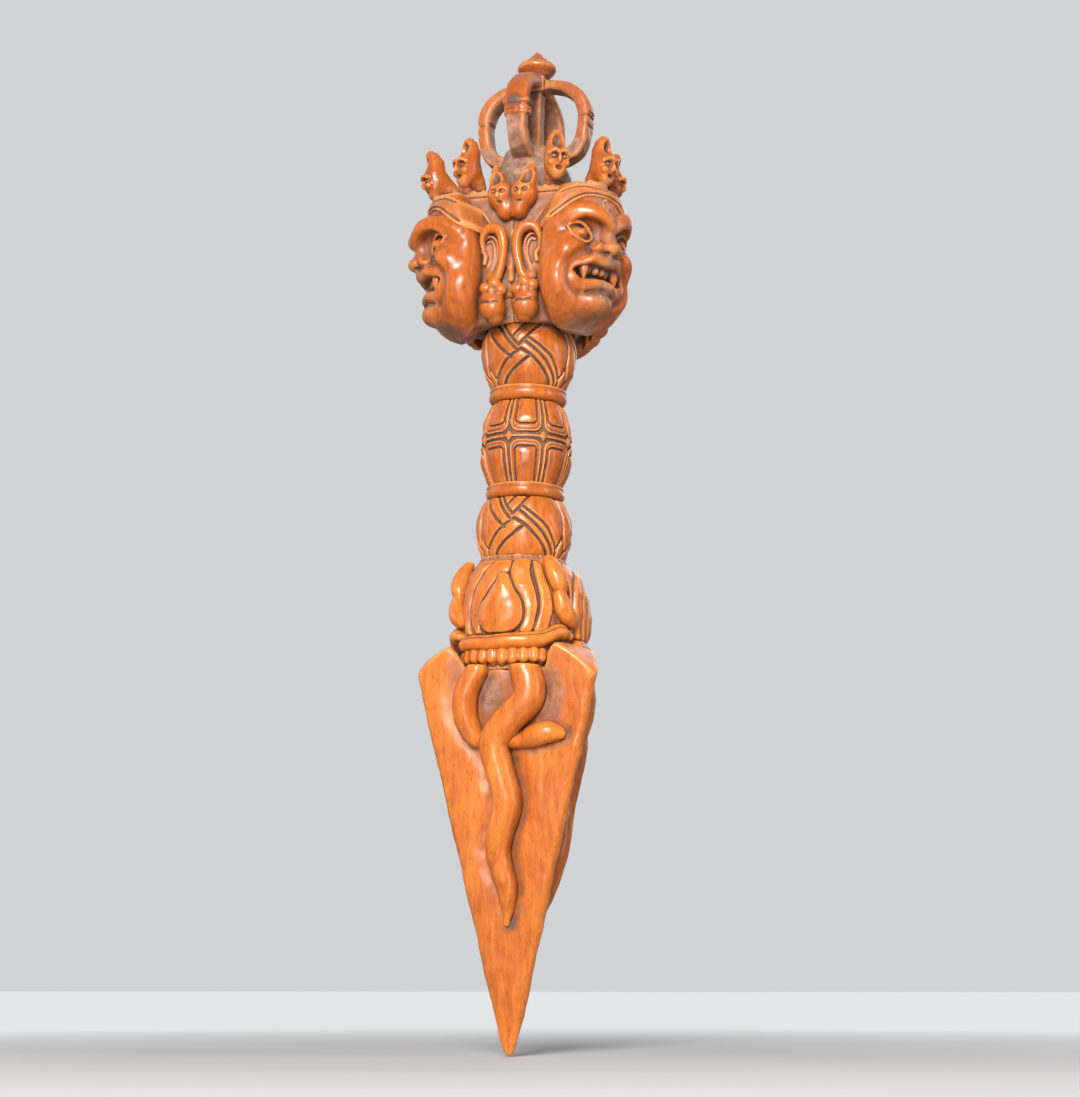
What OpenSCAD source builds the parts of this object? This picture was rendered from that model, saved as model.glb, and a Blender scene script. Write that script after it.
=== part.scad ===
// Three-sided ritual peg: blade with snakes, carved block, knotted handle, three wrathful
// heads with a crown of skulls, and a half vajra on top. Millimetres, tip at the origin,
// axis along +Z, the first blade face towards -Y.

/* [Blade] */
// Length from the tip to the three shoulders
blade_len = 88; // [80:1:96]
// Distance from the axis to a blade edge at the shoulders
blade_r = 25.4; // [24:0.2:27]
// Width of the worn flat along each blade edge
edge_flat = 1.8; // [1.2:0.1:2.4]
// Length of the steeper tip
tip_len = 9; // [7:0.5:11]
// Distance from the axis to a blade edge where the tip begins
tip_r = 3.95; // [3.4:0.05:4.4]
// Rise of the shoulders above the widest place
shoulder_h = 9; // [8:0.5:10]
// Distance from the axis to the top of a shoulder
shoulder_top_r = 15.5; // [15:0.1:16]

/* [Snakes] */
// Full width of the long snake where it is thickest
snake_w = 8; // [7:0.2:9]
// Height of the long snake above the blade face
snake_h = 5.4; // [4.6:0.1:6]
// How far the long snake reaches down from the widest place of the blade
snake_reach = 57.5; // [52:0.5:60]
// How far the long snake swings out from the middle
snake_swing = 6.4; // [5:0.1:7]
// Full width of the short snake
short_snake_w = 5.6; // [5:0.2:6.2]
// Height of the short snake above the blade face
short_snake_h = 3.6; // [3:0.1:4.2]
// How far down the short snake crosses the blade
short_snake_reach = 15.2; // [14.4:0.1:16]
// How far the short snake swings out from the middle
short_snake_swing = 9.4; // [8.8:0.1:10]

/* [Block] */
// Radius of the block at its belly
block_r = 14.2; // [13.8:0.1:14.8]
// Radius of the block's top edge
block_top_r = 10.2; // [9.6:0.1:10.8]
// Height of the block above the shoulders
block_h = 20.3; // [19:0.1:22]
// Height of the lotus bud above the block
bud_h = 1.7; // [1.2:0.1:2.2]
// Height of the side petals above the block
petal_h = 1.2; // [0.8:0.1:1.6]
// Height of the corner scrolls above the block
scroll_h = 3.3; // [2.8:0.1:3.8]
// Full width of a corner scroll
scroll_w = 4.6; // [4:0.1:5]
// Full height of the lip
lip_w = 4.4; // [3.8:0.1:4.8]
// How far the lip stands out from its seat
lip_h = 4.2; // [3.6:0.1:4.6]
// Radius of one tooth
tooth_r = 1.35; // [1.2:0.05:1.45]
// Number of teeth in a row
tooth_count = 8; // [7:1:8]

/* [Handle] */
// Radius of both knots at the middle
knot_r = 11.3; // [10.8:0.1:11.8]
// Height of the lower knot
lower_knot_h = 14.4; // [13.6:0.1:15.2]
// Radius of the lower knot's ends
lower_knot_end_r = 9.3; // [9:0.1:9.6]
// Height of the upper knot
upper_knot_h = 18.6; // [17.6:0.1:19.4]
// Radius of the upper knot's ends
upper_knot_end_r = 8.2; // [8:0.1:8.6]
// Width of a strap
strap_w = 2.2; // [1.6:0.1:2.8]
// Height of a strap above the knot
strap_h = 0.5; // [0.3:0.1:0.7]
// Radius of the collars
collar_r = 9.7; // [9.4:0.1:10.2]
// Height of a collar
collar_h = 3.8; // [3.4:0.1:4.2]
// Radius of the grip at its middle
grip_r = 11.2; // [10.6:0.1:11.8]
// Radius of the grip's ends
grip_end_r = 8.5; // [8.2:0.1:9]
// Height of the grip
grip_h = 20.6; // [19.6:0.1:21.6]
// Number of lotus panels in a row
panel_count = 8; // [7:1:9]
// Height of a panel above the grip
panel_h = 0.5; // [0.3:0.1:0.7]

/* [Heads] */
// Height of the head block from jaw to crown
head_h = 34.1; // [33:0.1:35]
// How far the jaws hang below the top of the upper knot
jaw_drop = 6.2; // [5.7:0.1:6.7]
// Distance from the axis to the middle of a head
head_out = 13.5; // [13:0.1:14]
// Half the width of a head
head_half_w = 13.8; // [13.4:0.1:14.2]
// Half the depth of a head
head_half_d = 15.4; // [15:0.1:15.8]
// Radius of the stem between the heads
core_r = 9; // [8.4:0.1:9.4]
// Distance from the axis to the flat that the ears lie on
ear_seat_r = 14.6; // [14.4:0.1:15]
// Height of an ear
ear_h = 14.2; // [13.6:0.2:14.8]
// Width of an ear
ear_w = 7.4; // [7:0.1:7.8]
// How far an ear stands out from its flat
ear_t = 2.8; // [2.4:0.1:3.2]
// Width of the band over the forehead
diadem_w = 4.4; // [4:0.1:4.8]
// Thickness of the band
diadem_t = 1.2; // [0.9:0.1:1.4]

/* [Crown] */
// Thickness of the crown plate
crown_h = 2.2; // [1.8:0.1:2.6]
// Radius of each lobe of the crown plate
crown_lobe_r = 12.1; // [11.9:0.1:12.5]
// Height of a skull ornament
skull_h = 13; // [12:0.2:14]
// Radius of a skull
skull_r = 3.3; // [3:0.1:3.5]
// Height of the double ornament between two heads
twin_h = 13.6; // [13:0.2:14.2]

/* [Finial] */
// Radius of the dome under the prongs
dome_r = 9.4; // [9:0.1:10]
// Height of the dome
dome_h = 9; // [8.4:0.1:9.6]
// Side of the four-sided hub
hub_side = 13.6; // [13:0.1:14.2]
// Height of the hub
hub_h = 4.8; // [4.4:0.1:5.2]
// Distance from the axis to the outside of a prong
cage_r = 14.9; // [14.3:0.1:15.5]
// Height of the open cage above the hub
cage_h = 20; // [19:0.2:21]
// Width of a prong across its back
prong_w = 6; // [5.4:0.1:6.4]
// Thickness of a prong
prong_t = 3.1; // [2.7:0.1:3.5]
// Side of the middle post
post_side = 3.8; // [3.4:0.1:4.2]
// Side of the post's square head
post_head = 5.4; // [5:0.1:5.8]
// Radius of the cap's rolled rim
cap_r = 5; // [4.6:0.1:5.4]
// Height of the cap
cap_h = 7.6; // [7:0.1:8.2]

/* [Joinery] */
// Radius of the tenon on the blade
blade_tenon_r = 6; // [5.4:0.1:6.6]
// Radius of the tenons along the handle
tenon_r = 4; // [3.6:0.1:4.4]
// Length of a tenon inside the next piece
tenon_len = 6; // [5:0.5:7]
// Radius of the pegs at the ends of the middle post
peg_r = 1.3; // [1.1:0.1:1.5]
// Clearance between a tenon and its socket
fit_gap = 0.1; // [0.05:0.05:0.15]

/* [Turning] */
// Turn of the block and its lotuses against the blade
block_turn = -4; // [-6:1:0]
// Turn of the heads against the blade
head_turn = -3; // [-6:1:0]
// Turn of the finial against the blade
finial_turn = -5; // [-10:1:0]
// Turn of the grip's panels against the blade
panel_turn = 15; // [10:1:20]

/* [Hidden] */

$fn = 64;
eps = 0.01;
seat_gap = 0.06;
wood = [0.74, 0.38, 0.16];
pale_wood = [0.82, 0.46, 0.2];
dark_wood = [0.42, 0.24, 0.14];

// Heads stand over the blade edges; the skulls on each are turned a little more
head_az = [60 + head_turn, 180 + head_turn, -60 + head_turn];
crown_shift = [7, 3, -8];
skull_spread = 33;
skull_seat_r = [19.6, 21.8, 18.2, 19.4, 21.8, 19.2, 18.2, 23, 19.8];
skull_lean = [4, 8, 16, 6, 8, 6, 14, 20, 5];

// Levels up the axis
socket_z = blade_len + 1.8;
shoulder_z = blade_len + shoulder_h;
block_z = shoulder_z + block_h;
lower_collar_z = block_z + lower_knot_h;
grip_z = lower_collar_z + collar_h;
upper_collar_z = grip_z + grip_h;
upper_knot_z = upper_collar_z + collar_h;
neck_z = upper_knot_z + upper_knot_h;
jaw_z = neck_z - jaw_drop;
crown_z = jaw_z + head_h;
dome_z = crown_z + crown_h;
hub_z = dome_z + dome_h;
cage_z = hub_z + hub_h;
cap_z = cage_z + cage_h;

// Blade faces: distance of a face from the axis at height z, and its slope
half_flat = edge_flat / 2;
face_top = blade_r / 2 + half_flat * sin(60);
face_low = tip_r / 2 + half_flat * 0.5 * sin(60);
face_slope = (face_top - face_low) / (blade_len - tip_len);
function face_at(z) = face_top + face_slope * (z - blade_len);

// A point at an azimuth from the first face, a distance from the axis and a height
function at(az, r, z) = [r * sin(az), -r * cos(az), z];
function unit(v) = v / norm(v);
function mix(a, b, t) = a + (b - a) * t;

// A curve through points of any number of values, with n steps between two of them
function curve_point(p, i, t) =
    let (a = p[max(i - 1, 0)], b = p[i], c = p[min(i + 1, len(p) - 1)], d = p[min(i + 2, len(p) - 1)])
    0.5 * (2 * b + (c - a) * t + (2 * a - 5 * b + 4 * c - d) * t * t
        + (3 * b - a - 3 * c + d) * t * t * t);
function curve(p, n) = concat(
    [for (i = [0:len(p) - 2]) for (k = [0:n - 1]) curve_point(p, i, k / n)], [p[len(p) - 1]]);

// Rows of front points and of back points, joined into one closed skin
module skin(fronts, backs) {
    n = len(fronts);
    a = len(fronts[0]);
    b = len(backs[0]);
    m = a + b;
    points = [for (i = [0:n - 1]) for (p = concat(fronts[i], backs[i])) p];
    sides = [for (i = [0:n - 2]) for (j = [0:m - 1]) for (half = [0, 1])
        let (p = i * m + j, q = i * m + (j + 1) % m)
        half == 0 ? [p, q + m, q] : [p, p + m, q + m]];
    mate = [for (j = [0:a - 1]) m - 1 - round(j * (b - 1) / (a - 1))];
    cap = [for (j = [0:a - 2]) each concat([[j, j + 1, mate[j + 1]]],
        mate[j] == mate[j + 1] ? [] : [[j, mate[j + 1], mate[j]]])];
    far = (n - 1) * m;
    far_cap = [for (f = cap) [f[0] + far, f[2] + far, f[1] + far]];
    polyhedron(points, concat(sides, cap, far_cap));
}

// Outline of a rounded relief: along the side and up from the ground, in shares of half
// its width and of its height
relief = [[-1, 0.3], [-0.86, 0.68], [-0.5, 0.92], [0, 1], [0.5, 0.92], [0.86, 0.68], [1, 0.3]];
relief_foot = [[0.8, 0], [0, 0], [-0.8, 0]];

// A soft round rise of height h, half as wide as a and half as tall as b
function bump(x, y, a, b, h) =
    let (q = (x / a) * (x / a) + (y / b) * (y / b)) q < 1 ? h * (1 - q) * (1 - q) : 0;

module third(k) {
    rotate([0, 0, 120 * (k - 1)]) children();
}

// Section of the blade: three faces at distance face_r, three edge flats at distance edge_r
module blade_section(edge_r, face_r, z) {
    t = (face_r - edge_r / 2) / sin(60);
    translate([0, 0, z])
        linear_extrude(eps)
            polygon([for (k = [0:2]) for (s = [-1, 1])
                [edge_r * sin(60 + 120 * k) + s * t * cos(60 + 120 * k),
                    -edge_r * cos(60 + 120 * k) + s * t * sin(60 + 120 * k)]]);
}

module blade() {
    socket_r = shoulder_top_r + 1.1;
    color(pale_wood) {
        difference() {
            hull() {
                blade_section(0.36, 0.3, 0);
                blade_section(tip_r, face_low, tip_len);
                blade_section(blade_r, face_top, blade_len);
                blade_section(shoulder_top_r, face_top - 0.3, shoulder_z);
            }
            translate([0, 0, socket_z]) cylinder(r = socket_r, h = shoulder_h);
        }
        translate([0, 0, socket_z - 1]) cylinder(r = blade_tenon_r, h = 1 + tenon_len + 3);
    }
}

// Relief that winds over the first blade face: points [across, below the shoulders, half
// width, height]
module face_relief(points, steps) {
    path = curve(points, steps);
    n = len(path);
    normal = unit([0, -1, -face_slope]);
    spots = [for (p = path) [p[0], -face_at(blade_len - p[1]), blade_len - p[1]]];
    rows = [for (i = [0:n - 1])
        let (along = unit(spots[min(i + 1, n - 1)] - spots[max(i - 1, 0)]), side = cross(along, normal))
        [for (q = concat(relief, relief_foot))
            spots[i] + side * q[0] * path[i][2] + normal * (q[1] * path[i][3] + seat_gap / 2)]];
    skin([for (row = rows) [for (j = [0:6]) row[j]]], [for (row = rows) [for (j = [7:9]) row[j]]]);
}

module long_snake() {
    w = snake_w / 2;
    h = snake_h;
    s = snake_swing;
    l = snake_reach;
    pass_z = blade_len - short_snake_reach;
    color(wood)
        difference() {
            face_relief([[0.78 * s, -0.0156 * l, 0.9 * w, 0.7 * h], [s, 0.087 * l, 0.95 * w, 0.9 * h],
                [0.22 * s, 0.188 * l, w, h], [-0.31 * s, 0.278 * l, w, h], [-0.09 * s, 0.383 * l, 0.9 * w, h],
                [0.19 * s, 0.522 * l, 0.84 * w, h], [-0.14 * s, 0.635 * l, 0.76 * w, 0.95 * h],
                [-0.23 * s, 0.73 * l, 0.7 * w, 0.85 * h], [0.08 * s, 0.87 * l, 0.56 * w, 0.66 * h],
                [0.03 * s, l, 0.12 * w, 0.12 * h]], 3);
            translate([0, -face_at(pass_z), pass_z])
                rotate([atan(face_slope), 0, 0])
                    cube([4 * short_snake_swing, short_snake_h * 0.84, short_snake_w], center = true);
        }
}

module short_snake() {
    w = short_snake_w / 2;
    h = short_snake_h;
    s = short_snake_swing;
    l = short_snake_reach;
    low = 0.36 * h;
    color(wood)
        face_relief([[-0.7 * s, -0.059 * l, 0.9 * w, 0.8 * h], [-0.99 * s, 0.303 * l, w, h],
            [-s, 0.658 * l, w, h], [-0.766 * s, 0.947 * l, 0.84 * w, 0.8 * h], [-0.51 * s, l, 0.72 * w, low],
            [0.468 * s, l, 0.72 * w, low], [0.745 * s, 0.947 * l, 0.9 * w, 0.8 * h],
            [1.106 * s, 0.895 * l, 0.9 * w, 0.9 * h], [1.426 * s, 0.908 * l, 0.5 * w, 0.5 * h]], 2);
}

// Block between the blade and the handle, as radius over height above the socket
block_shape = [[0, 0.95], [5, 0.965], [9, 0.985], [14, 1], [19, 0.975], [23.5, 0.88]];
function block_at(z) =
    z >= block_z - 0.5 ? block_top_r : block_r * lookup((z - socket_z) * 27.5 / (block_z - socket_z), concat(block_shape, [[27, block_top_r / block_r]]));

module makara_block() {
    color(wood)
        difference() {
            union() {
                rotate_extrude()
                    polygon(concat([[0, socket_z]],
                        [for (i = [0:14]) let (z = mix(socket_z, block_z, i / 14)) [block_at(z), z]],
                        [[0, block_z]]));
                translate([0, 0, block_z - 1]) cylinder(r = tenon_r, h = 1 + tenon_len);
            }
            translate([0, 0, socket_z - 1])
                cylinder(r = blade_tenon_r + fit_gap, h = 1 + tenon_len + 3 + fit_gap);
        }
}

// A pointed bud, and a petal as a rounded ridge along a line of azimuths, over x millimetres
// across and t above the shoulders
function leaf(x, y, w, l, h) =
    let (s = w * (1 - (y / l) * (y / l))) s > abs(x) ? h * sqrt(1 - (x / s) * (x / s)) : 0;
function petal(a, t, line) =
    let (x = (a - lookup(t, line)) * block_r * PI / 180)
    abs(x) < 2 ? petal_h * sqrt(1 - x * x / 4) : 0;
function lotus_rise(a, z) =
    let (t = z - shoulder_z)
    0.7 + max(
        leaf(a * block_r * PI / 180, t - 7.3, 5.3, 7.6, bud_h),
        petal(a, t, [[0, -25], [9, -24], [14, -16], [19, -6]]),
        petal(a, t, [[0, -34], [9, -39], [15, -34], [19, -27]]),
        petal(a, t, [[0, 24], [8, 27], [13, 23], [19, 12]]),
        petal(a, t, [[0, 33], [9, 37], [14, 35], [19, 29]]));

module lotus() {
    low = shoulder_z + 1.2;
    high = block_z - 0.9;
    rows = 18;
    cols = 28;
    backs = 8;
    right = [[0, 33], [4.5, 35], [7, 40], [12, 38], [19, 32]];
    color(wood)
        skin(
            [for (i = [0:rows])
                let (z = mix(low, high, i / rows), r = block_at(z) + 2 * seat_gap, end = lookup(z - low, right))
                [for (j = [0:cols])
                    let (a = mix(-46, end, j / cols)) at(a, r + lotus_rise(a, z), z)]],
            [for (i = [0:rows])
                let (z = mix(low, high, i / rows), r = block_at(z) + 4 * seat_gap, end = lookup(z - low, right))
                [for (j = [backs:-1:0]) at(mix(-46, end, j / backs), r, z)]]);
}

// Relief along points [azimuth, height above the shoulders, half width, rise] on the block
module block_relief(points, steps) {
    path = curve(points, steps);
    n = len(path);
    k = block_h / 20.3;
    spots = [for (p = path)
        at(p[0], block_at(shoulder_z + k * p[1]) + 4 * seat_gap, shoulder_z + k * p[1])];
    rows = [for (i = [0:n - 1])
        let (along = unit(spots[min(i + 1, n - 1)] - spots[max(i - 1, 0)]),
            out = at(path[i][0], 1, 0), side = unit(cross(along, out)))
        [for (q = relief) spots[i] + side * q[0] * path[i][2] + out * q[1] * path[i][3]]];
    feet = [for (i = [0:n - 1])
        let (along = unit(spots[min(i + 1, n - 1)] - spots[max(i - 1, 0)]),
            out = at(path[i][0], 1, 0), side = unit(cross(along, out)))
        [for (s = [0.8, 0, -0.8])
            let (p = spots[i] + side * s * path[i][2], k = (block_at(p[2]) + 4 * seat_gap) / norm([p[0], p[1]]))
            [p[0] * k, p[1] * k, p[2]]]];
    skin(rows, feet);
}

module scroll() {
    w = scroll_w / 2;
    color(pale_wood)
        block_relief([[47.8, 19.2, 0.5 * w, 0.5 * scroll_h], [49.5, 17.2, w, 0.9 * scroll_h],
            [51, 15, w, scroll_h], [53.6, 11.8, 0.8 * w, 0.7 * scroll_h], [56, 9.4, w, scroll_h],
            [60, 7.4, w, 0.95 * scroll_h], [64, 6.2, 0.5 * w, 0.5 * scroll_h]], 3);
}

module lip() {
    w = lip_w / 2;
    h = lip_h;
    color(wood)
        block_relief([[-46, -2.2, 0.15 * w, 0.3 * h], [-40, -2, 0.7 * w, 0.5 * h], [-28, -1.6, w, 0.9 * h],
            [0, -1.5, w, h], [24, -1.4, w, 0.9 * h], [35, -0.9, 0.86 * w, 0.52 * h],
            [42, 1.2, 0.7 * w, 0.52 * h], [48, 3.3, 0.55 * w, 0.6 * h], [57, 3.4, 0.45 * w, 0.5 * h],
            [68, 2.6, 0.1 * w, 0.2 * h]], 2);
}

module teeth() {
    steps = 4 * tooth_count;
    row = (socket_z + tooth_r + 0.3 - shoulder_z) * 20.3 / block_h;
    color(pale_wood)
        block_relief([for (i = [0:steps])
            let (swell = abs(sin(180 * tooth_count * i / steps)))
            [mix(-42, 42, i / steps), row, tooth_r * mix(0.6, 1, swell), 1.6 * tooth_r * mix(0.5, 1, swell)]], 1);
}

// Round body that swells from end_r to mid_r over height h
module barrel(end_r, mid_r, h) {
    rise = mid_r - end_r;
    arc_r = (h * h / 4 + rise * rise) / (2 * rise);
    rotate_extrude()
        intersection() {
            translate([mid_r - arc_r, h / 2]) circle(r = arc_r, $fn = 120);
            square([mid_r + 1, h]);
        }
}

module socketed(h) {
    difference() {
        children();
        translate([0, 0, -1]) cylinder(r = tenon_r + fit_gap, h = 1 + tenon_len + fit_gap);
    }
    translate([0, 0, h - 0.5]) cylinder(r = tenon_r, h = 0.5 + collar_h + tenon_len);
}

// Knot: a globe with straps that cross over each blade face
module knot(end_r, h, tilt) {
    barrel(end_r, knot_r, h);
    intersection() {
        barrel(end_r + strap_h, knot_r + strap_h, h);
        translate([0, 0, h / 2])
            for (k = [0:2]) for (s = [-1, 1])
                rotate([0, 0, 120 * k + 5]) rotate([0, s * tilt, 0])
                    cube([4 * knot_r, 4 * knot_r, strap_w], center = true);
    }
}

module lower_knot() {
    color(wood)
        translate([0, 0, block_z]) socketed(lower_knot_h) knot(lower_knot_end_r, lower_knot_h, 40);
}

module upper_knot() {
    color(wood)
        translate([0, 0, upper_knot_z])
            difference() {
                union() {
                    knot(upper_knot_end_r, upper_knot_h, 44);
                    translate([0, 0, upper_knot_h - 0.5]) cylinder(r = tenon_r, h = 0.5 + tenon_len);
                }
                translate([0, 0, -1]) cylinder(r = tenon_r + fit_gap, h = 1 + tenon_len + fit_gap);
            }
}

module collar() {
    color(pale_wood)
        rotate_extrude()
            intersection() {
                union() {
                    translate([tenon_r + fit_gap, 0]) square([collar_r - tenon_r - collar_h / 2, collar_h]);
                    translate([collar_r - 0.55 * collar_h, collar_h / 2]) circle(r = 0.55 * collar_h, $fn = 48);
                }
                translate([tenon_r + fit_gap, 0]) square([collar_r, collar_h]);
            }
}

module lower_collar() {
    translate([0, 0, lower_collar_z]) collar();
}

module upper_collar() {
    translate([0, 0, upper_collar_z]) collar();
}

module grip() {
    turn = 360 / panel_count;
    panel_w = 2 * PI * grip_end_r / panel_count - 1;
    tall = grip_h / 2 - 2.6;
    color(wood)
        translate([0, 0, grip_z])
            socketed(grip_h) {
                union() {
                    barrel(grip_end_r, grip_r, grip_h);
                    intersection() {
                        barrel(grip_end_r + panel_h, grip_r + panel_h, grip_h);
                        for (k = [0:panel_count - 1]) rotate([0, 0, panel_turn + turn * k])
                            rotate([90, 0, 0]) linear_extrude(grip_r + 2) {
                                translate([-panel_w / 2, panel_w / 2 + 1.6]) square([panel_w, tall - panel_w / 2]);
                                translate([0, panel_w / 2 + 1.6]) circle(d = panel_w);
                                translate([-panel_w / 2, grip_h - tall - 1.6]) square([panel_w, tall - panel_w / 2]);
                                translate([0, grip_h - 1.6 - panel_w / 2]) circle(d = panel_w);
                            }
                    }
                }
            }
}

module head_core() {
    color(dark_wood)
        translate([0, 0, neck_z]) {
            difference() {
                cylinder(r = core_r, h = crown_z - neck_z);
                translate([0, 0, -1]) cylinder(r = tenon_r + fit_gap, h = 1 + tenon_len + fit_gap);
            }
            translate([0, 0, crown_z - neck_z - 1]) cylinder(r = tenon_r, h = 1 + crown_h + tenon_len);
        }
}

// Shape of a head over its height: how far the front and the side stand out
head_front = [[0, 0.2], [2.2, 0.4], [4.6, 0.66], [6.9, 0.735], [10.8, 0.75], [14, 0.78], [18.5, 0.82],
    [24.5, 0.885], [28.5, 0.875], [32.5, 0.81], [35, 0.76]];
head_side = [[0, 0.45], [2.5, 0.72], [6, 0.92], [10.5, 0.98], [18.5, 1], [26.5, 0.98], [32.5, 0.93], [35, 0.88]];

// Distance from the axis to the plain head at angle a from its middle and height t above the jaw
function head_at(a, t) =
    let (s = 0.8 + t * 34.1 / head_h, d = head_half_d * lookup(s, head_front), w = head_half_w * lookup(s, head_side),
        p = cos(a) * cos(a) / d / d + sin(a) * sin(a) / w / w, q = head_out * cos(a) / d / d,
        r = head_out * head_out / d / d - 1)
    (q + sqrt(max(0, q * q - p * r))) / p;

// The band over the forehead: its middle line and half width
function band_t(a) = head_h * (1 - lookup(abs(a), [[0, 0.05], [17, 0.094], [26, 0.164], [34, 0.264]]));
function band_w(a) = diadem_w / 4.4 * lookup(abs(a), [[0, 1.2], [17, 1.7], [26, 2], [34, 2.1]]);

// Brows, eyes, nose, mouth and cheeks: u across from the middle, t up from the jaw
function brow_rise(u, t) = bump(u - 6, t - 27 - 0.32 * (u - 6), 7, 3.2, 3.6);
function feature_rise(u, t) = let (k = head_h / 34.1) k * plain_feature(u / k, t / k);
function plain_feature(u, t) =
    brow_rise(abs(u), t)
    + bump(u, t - 21.6, 3, 6, 2.6) + bump(u, t - 18.8, 4.2, 4.2, 2.8)
    + bump(abs(u) - 3.8, t - 18, 2.8, 2.6, 1.8)
    + bump(abs(u) - 6.4, t - 23, 5.4, 3.8, -2.2) + bump(abs(u) - 6.4, t - 23, 3.4, 2.9, 2.8)
    + bump(abs(u) - 9, t - 17, 5.6, 5, 1.6)
    + bump(abs(u) - 4.4, t - 15.8, 6.4, 2.4, 1.6)
    + bump(u, t - 13, 9.5, 3.4, -3.2) + bump(abs(u) - 4.2, t - 13, 1.8, 3.4, 2.2)
    + bump(u, t - 10, 7, 2.4, 1.6)
    + bump(u, t - 7, 5.4, 3.6, 1.4) + bump(abs(u) - 9.5, t - 6.5, 6, 6, 1.2)
    + bump(u, t - 30, 2.2, 3.6, 1.4);

// Radius of the knot that a jaw hangs over
function knot_at(z) =
    let (rise = knot_r - upper_knot_end_r, h = upper_knot_h,
        arc = (h * h / 4 + rise * rise) / (2 * rise), d = z - upper_knot_z - h / 2)
    knot_r - arc + sqrt(max(0, arc * arc - d * d));

// Half the angle of a face piece, and where the flat for the ears begins
face_half_angle = 59.5;
ear_wall = 30;
// Rise of the lower edge above the lowest point of the jaw, by angle
jaw_rise = [[0, 0], [18, 0.3], [26, 1.6], [30, 3.1], [60, 3.3]];

module face() {
    rows = 28;
    cols = 38;
    backs = 8;
    hug = 1 / cos(face_half_angle / backs);
    color(wood)
        skin(
            [for (i = [0:rows])
                [for (j = [0:cols])
                    let (a = mix(-face_half_angle, face_half_angle, j / cols),
                        t = mix(lookup(abs(a), jaw_rise), head_h, i / rows), r = head_at(a, t),
                        wall = abs(a) > ear_wall ? 0 : min(1, (ear_wall - abs(a)) / 2.6),
                        low = band_t(a) - band_w(a),
                        fade = max(0, min(1, (low - t) / 1.2)) * max(0, min(1, (ear_wall - abs(a)) / 9)),
                        flat = ear_seat_r / cos(60 - abs(a)))
                    at(a, mix(flat, r + fade * feature_rise(r * sin(a), t + 0.8), wall), jaw_z + t)]],
            [for (i = [0:rows])
                let (z = jaw_z + mix(jaw_rise[4][1], head_h, i / rows),
                    r = z < neck_z ? max(knot_at(z) + strap_h + 0.25, core_r + fit_gap) : core_r + fit_gap)
                [for (j = [backs:-1:0])
                    at(mix(-face_half_angle, face_half_angle, j / backs), r * hug, z)]]);
}

module diadem() {
    n = 26;
    color(pale_wood)
        skin(
            [for (i = [0:n])
                let (a = mix(-ear_wall + 3.4, ear_wall - 3.4, i / n), t = band_t(a), w = band_w(a))
                [for (q = [[1, 0.5], [0.8, 1], [0.25, 0.7], [-0.25, 0.7], [-0.8, 1], [-1, 0.5]])
                    at(a, head_at(a, t + q[0] * w) + 4 * seat_gap + q[1] * diadem_t, jaw_z + t + q[0] * w)]],
            [for (i = [0:n])
                let (a = mix(-ear_wall + 3.4, ear_wall - 3.4, i / n), t = band_t(a), w = band_w(a))
                [for (q = [-1, 0, 1]) at(a, head_at(a, t + q * w) + 4 * seat_gap, jaw_z + t + q * w)]]);
}

// Drawn flat, then stood up against the flat between two heads
module on_flat() {
    rotate([0, 0, head_turn])
        translate([0, -ear_seat_r - seat_gap, 0]) rotate([90, 0, 0]) children();
}

module ear_outline(grow) {
    top = crown_z - 8.4 - ear_w / 2;
    hull() {
        translate([0.6 + ear_w / 2, top]) circle(r = ear_w / 2 + grow, $fn = 32);
        translate([3.8, top + ear_w - ear_h + 1.9 - ear_w / 2]) circle(r = 1.9 + grow, $fn = 24);
    }
}

module ears() {
    top = crown_z - 8.4 - ear_w / 2;
    color(pale_wood)
        on_flat() {
            for (s = [0, 1]) mirror([s, 0, 0]) {
                difference() {
                    linear_extrude(ear_t) ear_outline(0);
                    translate([0, 0, ear_t - 1.5]) linear_extrude(3) ear_outline(-1.3);
                }
                translate([1 + ear_w / 2, top + 0.3, 0.5]) cylinder(r = 1.2, h = ear_t - 1.1);
                translate([4, top - 3.4, 0.5]) cylinder(r = 0.9, h = ear_t - 1.3);
            }
            translate([-0.85, top + ear_w / 2 - ear_h, 0]) cube([1.7, ear_h - 1, 1.6]);
        }
}

module earrings() {
    mid = crown_z - 8.4 - ear_h - 2.9;
    color(pale_wood)
        on_flat() {
            for (s = [-1, 1]) translate([s * 4.1, mid, 0]) {
                cylinder(r = 2.5, h = 1.4);
                for (k = [0:4]) rotate([0, 0, 72 * k + 90]) translate([1.6, 0, 1.3]) sphere(r = 1.1, $fn = 24);
                translate([0, 0, 1.5]) sphere(r = 0.9, $fn = 24);
                translate([0, -3.6, 0]) cylinder(r = 1.7, h = 1.9);
                translate([0, -3.6, 1.9]) sphere(r = 1.5, $fn = 24);
                translate([-1.2, -4, 0]) cube([2.4, 4, 1.6]);
            }
            translate([-2.4, mid - 0.8, 0]) cube([4.8, 1.6, 1.1]);
        }
}

module crown() {
    color(dark_wood)
        translate([0, 0, crown_z])
            difference() {
                union() {
                    cylinder(r = ear_seat_r, h = crown_h);
                    for (a = head_az) translate(at(a, head_out, 0)) cylinder(r = crown_lobe_r, h = crown_h);
                }
                translate([0, 0, -1]) cylinder(r = tenon_r + fit_gap, h = crown_h + 2);
                for (k = [1:3]) third(k) rotate([0, 0, head_turn])
                    translate([-7.4, -ear_seat_r - 20, -1]) cube([14.8, 20, crown_h + 2]);
            }
}

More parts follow.
